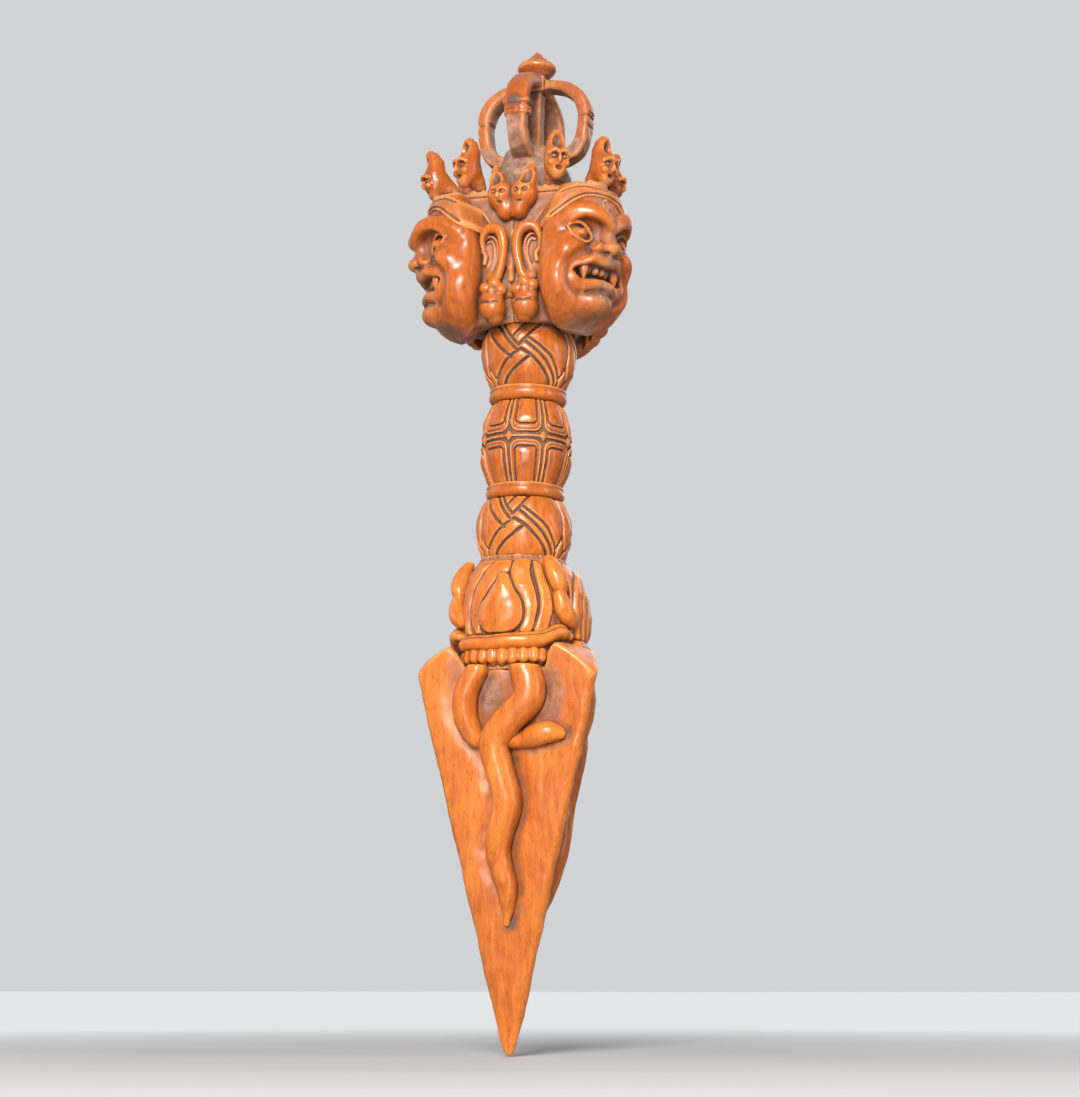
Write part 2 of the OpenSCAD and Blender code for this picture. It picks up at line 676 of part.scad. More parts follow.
// A skull with a hollow pointed hood that sweeps up behind it
module skull() {
    mid = 1.15 * skull_r;
    color(pale_wood)
        difference() {
            union() {
                translate([0, 0, mid]) sphere(r = skull_r, $fn = 32);
                translate([0, -0.45 * skull_r, 0.45 * skull_r]) sphere(r = 0.62 * skull_r, $fn = 32);
                translate([0, -0.1 * skull_r, mid])
                    cylinder(r1 = 0.92 * skull_r, r2 = 0.16 * skull_r, h = skull_h - mid, $fn = 48);
            }
            translate([0, -1.15 * skull_r, mid + 1.1 * skull_r])
                cylinder(r1 = 0.85 * skull_r, r2 = 0.1 * skull_r, h = 1.5 * skull_r, $fn = 32);
            for (s = [-1, 1])
                translate([s * 0.42 * skull_r, -0.95 * skull_r, mid + 0.1 * skull_r]) sphere(r = 0.3 * skull_r, $fn = 24);
            translate([-2 * skull_r, -2 * skull_r, -4 * skull_r]) cube(4 * skull_r);
        }
}

module crown_skull(k) {
    head = floor((k - 1) / 3);
    az = head_az[head] + crown_shift[head] + skull_spread * ((k - 1) % 3 - 1);
    translate(at(az, skull_seat_r[k - 1], dome_z + skull_r * sin(skull_lean[k - 1])))
        rotate([0, 0, az]) rotate([skull_lean[k - 1], 0, 0]) skull();
}

module twin_skull() {
    low = crown_z - 6;
    color(pale_wood)
        difference() {
            on_flat() translate([0, low, 0])
                for (s = [0, 1]) mirror([s, 0, 0]) {
                    translate([3, 5.4, 1.3]) sphere(r = 3.3, $fn = 32);
                    translate([1.3, 2.2, 1]) sphere(r = 2.1, $fn = 32);
                    translate([3, 5.4, 1.3]) rotate([-90, 0, 0]) rotate([0, 12, 0])
                        cylinder(r1 = 3, r2 = 0.4, h = twin_h - 5.4, $fn = 32);
                }
            rotate([0, 0, head_turn]) translate([-20, -ear_seat_r - seat_gap, low - 10]) cube([40, 30, 40]);
        }
}

module finial_base() {
    color(wood)
        difference() {
            union() {
                translate([0, 0, dome_z])
                    intersection() {
                        translate([0, 0, 0.42 * dome_h]) sphere(r = dome_r);
                        translate([-20, -20, 0]) cube([40, 40, dome_h]);
                    }
                rotate([0, 0, finial_turn]) translate([-hub_side / 2, -hub_side / 2, hub_z - 2.4])
                    cube([hub_side, hub_side, hub_h + 2.4]);
            }
            translate([0, 0, dome_z - 1]) cylinder(r = tenon_r + fit_gap, h = 1 + tenon_len + fit_gap);
            translate([0, 0, cage_z - 3]) cylinder(r = peg_r + fit_gap, h = 4);
        }
}

// Outside of a prong, from the hub up to the post: distance from the axis, height in the cage
function prong_outer() = let (b = cage_r, h = cage_h, s = hub_side / 2 + seat_gap)
    curve([[s, -0.92 * hub_h], [0.8 * b, -0.5 * hub_h], [0.95 * b, 0.06 * h], [b, 0.3 * h], [b, 0.5 * h],
        [0.9 * b, 0.7 * h], [0.66 * b, 0.88 * h], [0.36 * b, 0.965 * h], [post_head / 2 + seat_gap, 0.985 * h]], 4);
function prong_inner() = let (b = cage_r - prong_t, h = cage_h, s = hub_side / 2 + seat_gap)
    curve([[s, -0.18 * hub_h], [0.8 * b, 0.02 * h], [0.94 * b, 0.14 * h], [b, 0.32 * h], [b, 0.48 * h],
        [0.9 * b, 0.63 * h], [0.64 * b, 0.76 * h], [0.4 * b, 0.81 * h], [post_head / 2 + seat_gap, 0.83 * h]], 4);

module prong(k) {
    inner = prong_inner();
    color(pale_wood)
        translate([0, 0, cage_z]) rotate([0, 0, finial_turn + 90 * (k - 1)])
            intersection() {
                union() {
                    rotate([90, 0, -90]) translate([0, 0, -prong_w / 2]) linear_extrude(prong_w)
                        polygon(concat(prong_outer(), [for (i = [len(inner) - 1:-1:0]) inner[i]]));
                    for (z = [0.3, 0.37, 0.44])
                        translate([-prong_w / 2 - 0.3, -cage_r - 0.35, z * cage_h])
                            cube([prong_w + 0.6, prong_t + 0.7, 0.8]);
                }
                translate([0, 0, -10]) linear_extrude(40) polygon([[0, -0.1], [30, -30.1], [-30, -30.1]]);
            }
}

module finial_post() {
    color(wood)
        rotate([0, 0, finial_turn]) translate([0, 0, cage_z]) {
            translate([-post_side / 2, -post_side / 2, 0]) cube([post_side, post_side, cage_h - 0.5]);
            translate([-post_head / 2, -post_head / 2, 0.8 * cage_h]) cube([post_head, post_head, 0.2 * cage_h]);
            translate([0, 0, -2.8]) cylinder(r = peg_r, h = 4);
            translate([0, 0, cage_h - 1]) cylinder(r = peg_r, h = 1 + 3);
        }
}

module finial_cap() {
    brim = 0.34 * cap_h;
    color(wood)
        translate([0, 0, cap_z])
            difference() {
                rotate_extrude() {
                    square([0.5 * cap_r, brim]);
                    translate([cap_r - 1.05, brim - 0.2]) circle(r = 1.05, $fn = 32);
                    polygon([[0, brim - 0.9], [cap_r - 1, brim - 1.1], [cap_r - 0.7, brim + 0.7],
                        [0.52 * cap_r, 0.56 * cap_h], [0.3 * cap_r, 0.72 * cap_h], [0.12 * cap_r, 0.94 * cap_h],
                        [0.06 * cap_r, cap_h], [0, cap_h]]);
                }
                translate([0, 0, -1]) cylinder(r = peg_r + fit_gap, h = 1 + 3 + fit_gap);
            }
}

blade();
makara_block();
lower_knot();
lower_collar();
grip();
upper_collar();
upper_knot();
head_core();
crown();
finial_base();
finial_post();
finial_cap();
third(1) long_snake();  // long_snake_1
third(1) short_snake();  // short_snake_1
third(1) rotate([0, 0, block_turn]) lotus();  // lotus_1
third(1) rotate([0, 0, block_turn]) scroll();  // scroll_1
third(1) rotate([0, 0, block_turn]) lip();  // lip_1
third(1) rotate([0, 0, block_turn]) teeth();  // teeth_1
rotate([0, 0, head_az[0]]) face();  // face_1
rotate([0, 0, head_az[0]]) diadem();  // diadem_1
third(1) ears();  // ears_1
third(1) earrings();  // earrings_1
third(1) twin_skull();  // twin_skull_1
third(2) long_snake();  // long_snake_2
third(2) short_snake();  // short_snake_2
third(2) rotate([0, 0, block_turn]) lotus();  // lotus_2
third(2) rotate([0, 0, block_turn]) scroll();  // scroll_2
third(2) rotate([0, 0, block_turn]) lip();  // lip_2
third(2) rotate([0, 0, block_turn]) teeth();  // teeth_2
rotate([0, 0, head_az[1]]) face();  // face_2
rotate([0, 0, head_az[1]]) diadem();  // diadem_2
third(2) ears();  // ears_2
third(2) earrings();  // earrings_2
third(2) twin_skull();  // twin_skull_2
third(3) long_snake();  // long_snake_3
third(3) short_snake();  // short_snake_3
third(3) rotate([0, 0, block_turn]) lotus();  // lotus_3
third(3) rotate([0, 0, block_turn]) scroll();  // scroll_3
third(3) rotate([0, 0, block_turn]) lip();  // lip_3
third(3) rotate([0, 0, block_turn]) teeth();  // teeth_3
rotate([0, 0, head_az[2]]) face();  // face_3
rotate([0, 0, head_az[2]]) diadem();  // diadem_3
third(3) ears();  // ears_3
third(3) earrings();  // earrings_3
third(3) twin_skull();  // twin_skull_3
crown_skull(1);  // skull_1
crown_skull(2);  // skull_2
crown_skull(3);  // skull_3
crown_skull(4);  // skull_4
crown_skull(5);  // skull_5
crown_skull(6);  // skull_6
crown_skull(7);  // skull_7
crown_skull(8);  // skull_8
crown_skull(9);  // skull_9
prong(1);  // prong_1
prong(2);  // prong_2
prong(3);  // prong_3
prong(4);  // prong_4
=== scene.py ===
import math

import bpy
import numpy as np
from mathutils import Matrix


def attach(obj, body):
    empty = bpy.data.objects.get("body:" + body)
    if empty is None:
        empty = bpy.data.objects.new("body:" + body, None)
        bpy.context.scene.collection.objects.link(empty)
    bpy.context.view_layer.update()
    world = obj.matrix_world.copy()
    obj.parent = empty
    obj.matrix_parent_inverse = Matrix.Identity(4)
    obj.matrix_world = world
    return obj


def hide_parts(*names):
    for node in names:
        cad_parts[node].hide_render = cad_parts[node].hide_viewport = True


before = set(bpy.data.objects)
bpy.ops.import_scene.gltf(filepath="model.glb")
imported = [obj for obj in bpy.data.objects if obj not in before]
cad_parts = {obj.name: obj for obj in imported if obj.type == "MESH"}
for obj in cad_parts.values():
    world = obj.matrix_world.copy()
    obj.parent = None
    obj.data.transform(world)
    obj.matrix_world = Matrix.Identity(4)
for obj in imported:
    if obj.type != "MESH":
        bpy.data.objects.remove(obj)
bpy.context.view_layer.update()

import openvdb as vdb
from mathutils import Matrix, Vector

MM = 0.001
F32 = np.float32
FAR = 5.0                         # the distance that stands for far from any surface

# Heights in millimetres above the tip of the blade.
POINT_TOP = 9.0
BLADE_TOP = 88.0
SOCKET = 89.8
SHOULDER = 97.0
BLOCK_TOP = 117.3
LOWER_COLLAR = 131.7
GRIP_LOW = 135.5
GRIP_TOP = 156.1
KNOT_FOOT = 159.9
JAW = 171.5
NECK = 178.5
CROWN_MID = 207.5
CROWN_TOP = 208.6
BULB_MID = 214.6
HUB_TOP = 222.4
CAGE_TOP = 242.4
TOP = 250.0

# Distances from the axis.
POINT_R = 3.95
BLADE_R = 25.4
BLOCK_R = 14.2
KNOT_R = 11.3
GRIP_R = 11.2
SEAT = 14.6                       # the flats between two heads
CORE_R = 7.4
CAP_R = 5.0

# Turns in degrees of what was not cut quite square to the blade.
THIRDS = (0, 120, 240)
BLOCK_TURN = -4
HEAD_TURN = -3
FINIAL_TURN = -5
HEADS = (60 + HEAD_TURN, 180 + HEAD_TURN, -60 + HEAD_TURN)


def spline(points, n=4):
    """A smooth curve through points of any number of values, n steps to a span."""
    p = np.asarray(points, float)
    out = []
    for i in range(len(p) - 1):
        a, b, c, d = p[max(i - 1, 0)], p[i], p[i + 1], p[min(i + 2, len(p) - 1)]
        for t in np.arange(n) / n:
            out.append(0.5 * (2 * b + (c - a) * t + (2 * a - 5 * b + 4 * c - d) * t * t
                              + (3 * b - a - 3 * c + d) * t ** 3))
    out.append(p[-1])
    return np.array(out)


def relaxed(p, times):
    """A line of points with its kinks taken out."""
    for _ in range(times):
        p[1:-1] = (p[:-2] + 2 * p[1:-1] + p[2:]) / 4
    return p


def table(z, *pairs):
    """A value for each height, read between pairs of height and value."""
    return np.interp(z, [p[0] for p in pairs], [p[1] for p in pairs]).astype(F32)


def at(az, r, z):
    """Point at an azimuth from -Y towards +X, a distance from the axis and a height."""
    a = math.radians(az)
    return np.array([r * math.sin(a), -r * math.cos(a), z])


def facing(x, y, degrees):
    """Across and inward, as seen from an azimuth."""
    a = math.radians(degrees)
    return x * math.cos(a) + y * math.sin(a), -x * math.sin(a) + y * math.cos(a)


def turned(p, degrees):
    x, y = facing(p[..., 0], p[..., 1], -degrees)
    return np.stack([x, y, p[..., 2]], -1)


def polar(x, y, turn=0.0):
    """Azimuth in degrees, from -Y towards +X, and distance from the axis."""
    a = np.degrees(np.arctan2(x, -y)) - turn
    return (a + 180) % 360 - 180, np.sqrt(x * x + y * y)


def wave(az, times, start=0.0):
    return np.sin(np.radians(az * times + start))


def step(x, lo, hi):
    t = np.clip((x - lo) / (hi - lo), 0, 1)
    return t * t * (3 - 2 * t)


def dome(d, reach):
    """From 0 at an edge to 1 at a depth, rounded like a cushion."""
    return 1 - (1 - np.clip(d / reach, 0, 1)) ** 2


def soft_min(a, b, k):
    """Joins two solids, with a fillet of about k."""
    if k <= 0:
        return np.minimum(a, b)
    h = np.maximum(k - np.abs(a - b), 0) / k
    return np.minimum(a, b) - h * h * (k * 0.25)


def soft_max(a, b, k):
    """Keeps what two solids share, with its edge rounded by about k."""
    return -soft_min(-a, -b, k)


def corner(a, b, r):
    """Keeps what two solids share, with its edge rounded to a radius."""
    a, b = a + r, b + r
    outside = np.sqrt(np.maximum(a, 0) ** 2 + np.maximum(b, 0) ** 2)
    return outside + np.minimum(np.maximum(a, b), 0) - r


def ellipsoid(p, radii):
    """Distance to an ellipsoid, or to an ellipse if only two values are given."""
    k0 = np.sqrt(sum((v / r) ** 2 for v, r in zip(p, radii))) + 1e-6
    k1 = np.sqrt(sum((v / r ** 2) ** 2 for v, r in zip(p, radii))) + 1e-6
    return k0 * (k0 - 1) / k1


def along(u, v, a, b):
    """Squared distance, in the plane, from the stretch between two points."""
    e = b - a
    t = np.clip(((u - a[0]) * e[0] + (v - a[1]) * e[1]) / (e @ e + 1e-9), 0, 1)
    return (u - a[0] - t * e[0]) ** 2 + (v - a[1] - t * e[1]) ** 2


def to_line(line, u, v):
    """Distance, in the plane, to an open line of points."""
    best = np.full(u.shape, 1e6, F32)
    for a, b in zip(line[:-1], line[1:]):
        best = np.minimum(best, along(u, v, a, b))
    return np.sqrt(best)


def inside_loop(loop, u, v):
    """Distance, in the plane, to a closed line of points; negative inside."""
    best = np.full(u.shape, 1e6, F32)
    inside = np.zeros(u.shape, bool)
    for a, b in zip(loop, np.roll(loop, -1, 0)):
        best = np.minimum(best, along(u, v, a, b))
        level = (v - a[1]) / (b[1] - a[1] + 1e-9)
        inside ^= ((a[1] > v) != (b[1] > v)) & (u < (b[0] - a[0]) * level + a[0])
    d = np.sqrt(best)
    return np.where(inside, -d, d)


def rod_distance(x, y, z, a, b, ra, rb):
    d = b - a
    q = float(d @ d) + 1e-9
    t = np.clip(((x - a[0]) * d[0] + (y - a[1]) * d[1] + (z - a[2]) * d[2]) / q, 0, 1).astype(F32)
    ex, ey, ez = x - a[0] - t * d[0], y - a[1] - t * d[1], z - a[2] - t * d[2]
    return np.sqrt(ex * ex + ey * ey + ez * ez) - (ra + (rb - ra) * t)


def sample(grid, q):
    """Values between a grid's own, at places counted in its steps."""
    i = np.clip(np.floor(q).astype(int), 0, np.array(grid.shape) - 2)
    w = np.clip(q - i, 0, 1)
    share = (1 - w, w)
    out = 0
    for a, b, c in np.ndindex(2, 2, 2):
        g = grid[i[..., 0] + a, i[..., 1] + b, i[..., 2] + c]
        out = out + g * (share[a][..., 0] * share[b][..., 1] * share[c][..., 2])
    return out


def blur(f, mm, vox):
    """A grid's running mean over a box, taken twice along each axis."""
    n = max(1, int(round(mm / vox)))
    for _ in range(2):
        for ax in range(3):
            p = np.concatenate([np.take(f, [0] * (n + 1), ax), f, np.take(f, [-1] * n, ax)], ax)
            c = np.cumsum(p, axis=ax, dtype=np.float64)
            m = f.shape[ax]
            f = ((np.take(c, range(2 * n + 1, 2 * n + 1 + m), ax) - np.take(c, range(m), ax))
                 / (2 * n + 1)).astype(F32)
    return f


class Clay:
    """A block of clay: distances to its surface on a grid, in millimetres, built up and cut away."""

    def __init__(self, lo, hi, vox=0.22):
        self.vox = vox
        self.lo = np.array(lo, F32)
        n = np.ceil((np.array(hi) - self.lo) / vox).astype(int) + 1
        self.axes = [(self.lo[i] + vox * np.arange(n[i])).astype(F32) for i in range(3)]
        self.f = np.full(n, FAR, F32)
        self.flip = 1

    def sides(self):
        """Twice round a loop: what is added in it lies on one side, then mirrored on the other."""
        for self.flip in (-1, 1):
            yield self.flip

    def crop(self, lo, hi):
        s = []
        for i in range(3):
            a = int(max(0, math.floor((lo[i] - self.lo[i]) / self.vox)))
            b = int(min(self.f.shape[i], math.ceil((hi[i] - self.lo[i]) / self.vox) + 1))
            s.append(slice(a, max(a, b)))
        x, y, z = (self.axes[i][s[i]] for i in range(3))
        return tuple(s), x[:, None, None], y[None, :, None], z[None, None, :]

    def all(self):
        return self.axes[0][:, None, None], self.axes[1][None, :, None], self.axes[2][None, None, :]

    def mix(self, s, d, k, cut):
        a = self.f[s]
        self.f[s] = -soft_min(-a, d, k) if cut else soft_min(a, d, k)

    def egg(self, middle, radii, k=0.0, cut=False, turn=None):
        """An ellipsoid; turn has its own axes as rows."""
        middle, radii = np.multiply(middle, (self.flip, 1.0, 1.0)), np.ones(3) * radii
        room = k + 1.2 + (radii if turn is None else radii.max())
        s, x, y, z = self.crop(middle - room, middle + room)
        if self.f[s].size == 0:
            return
        p = (x - middle[0], y - middle[1], z - middle[2])
        if turn is not None:
            p = [t[0] * p[0] + t[1] * p[1] + t[2] * p[2] for t in turn]
        self.mix(s, ellipsoid(p, radii).astype(F32), k, cut)

    def tube(self, points, radius, k=0.0, cut=False):
        """A rod along a line of points, with one radius or one a point."""
        p = np.multiply(points, (self.flip, 1.0, 1.0))
        rad = np.ones(len(p)) * radius
        room = k + 1.0 + rad.max()
        s, x, y, z = self.crop(p.min(0) - room, p.max(0) + room)
        if self.f[s].size == 0:
            return
        t = np.full(self.f[s].shape, FAR, F32)
        for a, b, ra, rb in zip(p[:-1], p[1:], rad[:-1], rad[1:]):
            room = k + 1.0 + max(ra, rb)
            q, xx, yy, zz = self.crop(np.minimum(a, b) - room, np.maximum(a, b) + room)
            r = tuple(slice(qi.start - si.start, qi.stop - si.start) for qi, si in zip(q, s))
            if t[r].size:
                t[r] = np.minimum(t[r], rod_distance(xx, yy, zz, a, b, ra, rb))
        self.mix(s, t, k, cut)

    def rope(self, points, k=0.0, cut=False, n=4):
        """A rod along a smooth curve through points of x, y, z and radius."""
        q = spline(points, n)
        self.tube(q[:, :3], q[:, 3], k, cut)

    def ropes(self, points, k=0.0, cut=False):
        for _ in self.sides():
            self.rope(points, k, cut)

    def field(self, fn, k=0.0, cut=False):
        """Any distance, as a function of x, y and z over the whole block."""
        self.mix(tuple(slice(None) for _ in range(3)), fn(*self.all()).astype(F32), k, cut)

    def trim(self, fn, k=0.0):
        """Takes away all that is outside of a surface, where its distance is positive."""
        self.f = soft_max(self.f, fn(*self.all()).astype(F32), k)

    def value(self, p, f=None):
        """The distance at points, between the grid's own."""
        return sample(self.f if f is None else f, (np.asarray(p, float) - self.lo) / self.vox)

    def land(self, starts, ways, reach):
        """Where rays from starts first meet the clay."""
        t = np.arange(0, reach, self.vox * 0.5)
        pts = starts[:, None, :] + t[None, :, None] * ways[:, None, :]
        inside = ((pts > self.lo) & (pts < self.lo + self.vox * (np.array(self.f.shape) - 1))).all(-1)
        v = np.where(inside, self.value(pts), FAR)
        first = np.argmax(v < 0, axis=1)
        n = np.arange(len(first))
        v1, v0 = v[n, first], v[n, np.maximum(first - 1, 0)]
        back = np.where(v0 > v1, -v1 / np.maximum(v0 - v1, 1e-6), 0) * self.vox * 0.5
        return starts + ways * (t[first] - back)[:, None]

    def on_front(self, pts, lift=0.0):
        """Points (x, z) dropped on the side that faces -Y, and lifted off it."""
        p = np.asarray(pts, float)
        start = np.stack([p[:, 0], np.full(len(p), self.lo[1] + 0.3), p[:, 1]], 1)
        inward = np.tile([0, 1.0, 0], (len(p), 1))
        return self.land(start, inward, self.vox * self.f.shape[1]) - [0, lift, 0]

    def on_round(self, pts, lift=0.0, far=34.0):
        """Points (azimuth, z) dropped on the outside towards the axis, and lifted off it."""
        p = np.asarray(pts, float)
        a = np.radians(p[:, 0])
        out = np.stack([np.sin(a), -np.cos(a), 0 * a], 1)
        return self.land(out * far + np.stack([0 * a, 0 * a, p[:, 1]], 1), -out, far) + out * lift


PIECES = []


def ripple(x, y, z):
    """The slight unevenness that a knife leaves."""
    return 0.022 * (np.sin(1.3 * x + 1.9 * np.sin(0.7 * z + 0.5 * y))
                    + np.sin(1.1 * y + 1.6 * np.sin(0.9 * z - 0.6 * x))
                    + np.sin(1.2 * z + 1.4 * np.sin(0.8 * x)))


def piece(clay, slot, *places, soil=0.0, edges=1.0):
    """Clay to be shown: places are (node name, turn about the axis, offset); soil is how dusty it is,
    or a function of its points; edges is how pale its edges are worn."""
    clay.f = clay.f + ripple(*clay.all()).astype(F32)
    g = vdb.FloatGrid(FAR)
    g.copyFromArray(clay.f)
    verts, tris, quads = g.convertToPolygons(isovalue=0.0, adaptivity=0.0)
    verts = np.asarray(verts, float) * clay.vox + clay.lo
    tight = np.clip(clay.f, -1.2, 1.2)
    fine = clay.value(verts, blur(tight, 0.3, clay.vox))
    fine = np.where(fine > 0, fine * edges, fine)
    wide = clay.value(verts, blur(tight, 0.8, clay.vox))
    soil = np.ones(len(verts)) * (soil(*verts.T) if callable(soil) else soil)
    PIECES.append({"clay": clay, "slot": slot, "places": places, "verts": verts, "soil": soil,
                   "tris": np.asarray(tris), "quads": np.asarray(quads), "fine": fine, "wide": wide})
    return PIECES[-1]


# The three-sided blade, with room round the snakes. A snake is a row of: across, down from the top
# of the blade, half its width, height of its back.

LONG_SNAKE = [(5, -0.9, 3.6, 3.8), (6.2, 5, 3.75, 4.9), (1.2, 10.8, 3.8, 5.4), (-2.2, 16, 3.55, 5.4),
              (-1.0, 22, 3.35, 5.4), (0.9, 30, 3.2, 5.4), (-0.9, 36.5, 3.04, 5.1), (-1.5, 42, 2.8, 4.6),
              (0.5, 50, 2.24, 3.6), (0.2, 57.5, 0.6, 0.8)]
SHORT_SNAKE = [(-6.6, -0.9, 2.5, 2.9), (-9.3, 4.6, 2.8, 3.6), (-9.4, 10, 2.8, 3.6), (-7.2, 14.4, 2.35, 2.9),
               (-4.8, 15.2, 2.0, 1.3), (4.4, 15.2, 2.0, 1.3), (7, 14.4, 2.5, 2.9), (10.4, 13.6, 2.5, 3.2),
               (13.4, 13.8, 1.4, 1.8)]
FACE_LIFT = 0.78                  # how far a face lies beyond half the radius of the edges
EDGE_FLAT = 0.35                  # how much the edges are worn down


def blade_edge(z):
    return POINT_R + (z - POINT_TOP) * (BLADE_R - POINT_R) / (BLADE_TOP - POINT_TOP)


def face_depth(z):
    return blade_edge(z) / 2 + FACE_LIFT


def on_face(v, z):
    """Whether a point lies near a blade face, by its distance inward."""
    return v < -0.45 * blade_edge(z)


def snake_line(path, lift=1.0):
    """Points and half widths of a snake on the blade's front face."""
    across, down, half, back = spline(path, 6).T
    z = BLADE_TOP - down
    rise = np.maximum(back - half, -0.7 * half) * lift
    return np.stack([across, -(face_depth(z) + rise), z], 1), half


def make_blade():
    c = Clay((-27, -22, -0.6), (27, 26.5, 98.6), 0.36)

    def body(x, y, z):
        low = np.clip(z, 0, POINT_TOP)
        edge = np.where(z < POINT_TOP, 0.5 + np.sqrt(low / POINT_TOP) * (POINT_R - 0.5), blade_edge(z))
        face = edge / 2 + np.where(z < POINT_TOP, 0.62 * low / POINT_TOP + 0.1, FACE_LIFT)
        shoulder = np.clip((z - BLADE_TOP) / (SHOULDER - BLADE_TOP), 0, 1)
        edge = np.where(z > BLADE_TOP, BLADE_R - 9.9 * shoulder ** 1.5, edge)
        face = np.where(z > BLADE_TOP, BLADE_R / 2 + FACE_LIFT + 1.2 * shoulder, face)
        out = np.full(np.broadcast(x, y, z).shape, -FAR, F32)
        for lim, start in ((face, 0), (edge - EDGE_FLAT, 60)):
            for a in THIRDS:
                out = soft_max(out, -facing(x, y, a + start)[1] - lim, 0.9)
        out = out + 0.10 * np.sin(z * 0.31 + 1.3 * np.sin(x * 0.21 + y * 0.17)) - 0.05
        out = soft_max(out, 0.05 - z, 1.0)
        return np.maximum(out, z - SHOULDER) * 0.93

    def socket(x, y, z):
        wall = table(z, (SOCKET, 15.7), (91.5, 16.6), (94, 17.0), (SHOULDER, 17.2))
        return np.maximum(np.sqrt(x * x + y * y) - wall, SOCKET - z)

    c.field(body)
    c.field(socket, 0.8, True)
    for turn in THIRDS:
        def notch(x, y, z):
            """What opens upward round the lip."""
            u, v = facing(x, y, turn + BLOCK_TURN)
            return np.maximum(np.maximum((np.abs(u) - 9.2 - (z - 91) * 0.86) * 0.76, 89.9 - z), v + 8.0)

        c.field(notch, 1.2, True)
        for path in (LONG_SNAKE, SHORT_SNAKE):
            pts, half = snake_line(path, 0.0)
            c.tube(turned(pts, turn), half - 0.15, 0.0, True)
            # the ground scraped down round it
            far = (pts - [0, 14.0, 0])[::3]
            c.tube(turned(far, turn), np.hypot(14.0, half + 2.2)[::3], 0.8, True)
    return c


def blade_soil(x, y, z):
    """Dust on the scraped ground at the top of each face, round the snakes."""
    out = 0 * z
    for turn in THIRDS:
        u, v = facing(x, y, turn)
        here = step(z, 80.0, 90.0) * (1 - step(np.abs(u + 1.0), 9.0, 15.0))
        ring = 1 - step(np.hypot(u + 3.2, (z - 82.5) * 0.6), 2.4, 4.2)
        patch = 1 - step(np.hypot(u - 11.0, (z - 83.0) * 0.4), 1.6, 4.4)
        here = np.maximum(0.75 * here, 0.9 * np.maximum(ring, patch))
        out = np.maximum(out, here * on_face(v, z))
    return out


def snake_shadow_and_nicks(x, y, z):
    """Painted shadow along the snakes, wider on their right and under them as if cast by them, and old wax in
    the nicks of the edges.
    """
    out = 0 * z
    nicks = np.sin(0.55 * z + 2 * np.sin(0.23 * z)) + 0.6 * np.sin(2.3 * z + x)
    nicks = step(nicks, 0.5, 1.3) * (z < BLADE_TOP)
    for turn in THIRDS:
        depth = blade_edge(z) - EDGE_FLAT + facing(x, y, turn + 60)[1]
        out = np.maximum(out, 0.85 * nicks * (1 - step(depth, 0.3, 2.2)))
    # painted shadow beside each snake, shifted to its right and down
    for turn in THIRDS:
        u, v = facing(x, y, turn)
        near = np.full(len(z), 9.0)
        for path in (LONG_SNAKE, SHORT_SNAKE):
            pts, half = snake_line(path)
            for p, r in zip(pts[::2], half[::2]):
                near = np.minimum(near, np.hypot(u - p[0] - 0.6, z - p[2] + 0.3) - r)
        out = np.maximum(out, (1.0 - step(near, -0.3, 2.3)) * on_face(v, z))
    return out


def make_snake(path, sunk):
    pts, half = snake_line(path)
    c = Clay(pts.min(0) - 4.8, pts.max(0) + 4.8, 0.25)
    c.tube(snake_line(path, 0.0)[0], half * 0.97)
    c.tube(pts, half * 0.97, 0.8)
    c.trim(lambda x, y, z: y + face_depth(z) - sunk)
    c.trim(lambda x, y, z: z - 90.0)
    return c


# The block with its petals, scroll, lip and teeth. Outlines are points of azimuth and height.

PETAL_R = 14.0                    # radius by which degrees become millimetres along the block

BUD = [(-1, 112.2), (6.5, 111.4), (12.4, 107.9), (18.1, 105.5), (20.6, 102.3), (18.7, 99.9), (10.2, 98.0),
       (-8.1, 97.5), (-18.1, 99.3), (-19.9, 101.4), (-18.2, 104.3), (-11.8, 106.6), (-5, 109.6)]
INNER = [(6.2, 115.2), (6.6, 112.5), (4, 112), (-5, 110.4), (-12, 107.6), (-19, 104.8), (-21.3, 101.4),
         (-19.5, 98), (-24.4, 97.8), (-28.9, 99.9), (-30.8, 102.9), (-27.7, 107.1), (-23.4, 110.2),
         (-15.2, 113.7), (-8.7, 115.3)]
CRESCENT = [(-17.3, 114.6), (-18.6, 113.9), (-25.8, 110.7), (-31.8, 106.8), (-33.3, 103), (-34.6, 100),
            (-32.2, 97.9), (-38.5, 98.2), (-43.5, 102.4), (-43.6, 106), (-39.3, 110.5), (-26.4, 113.6)]
NEXT = [(11.4, 115.4), (8.6, 113.1), (9.2, 110.9), (14.2, 108.0), (20.0, 105.8), (22.4, 103), (21.6, 100.4),
        (18.6, 98.2), (24, 97.8), (29.6, 98.6), (32.2, 101.9), (33.2, 104.6), (31.4, 107.3), (27.8, 110.2),
        (26.3, 113.2), (27.0, 115.6)]
LAST = [(31.6, 115.2), (31.3, 112.6), (33.9, 109.4), (36.5, 106.1), (36.3, 102.9), (34.2, 100.7),
        (32.4, 98.2), (42.5, 98.4), (46.0, 101), (47.4, 103), (46.9, 106.1), (43.6, 109.1), (40, 112.2),
        (38.6, 114.6)]
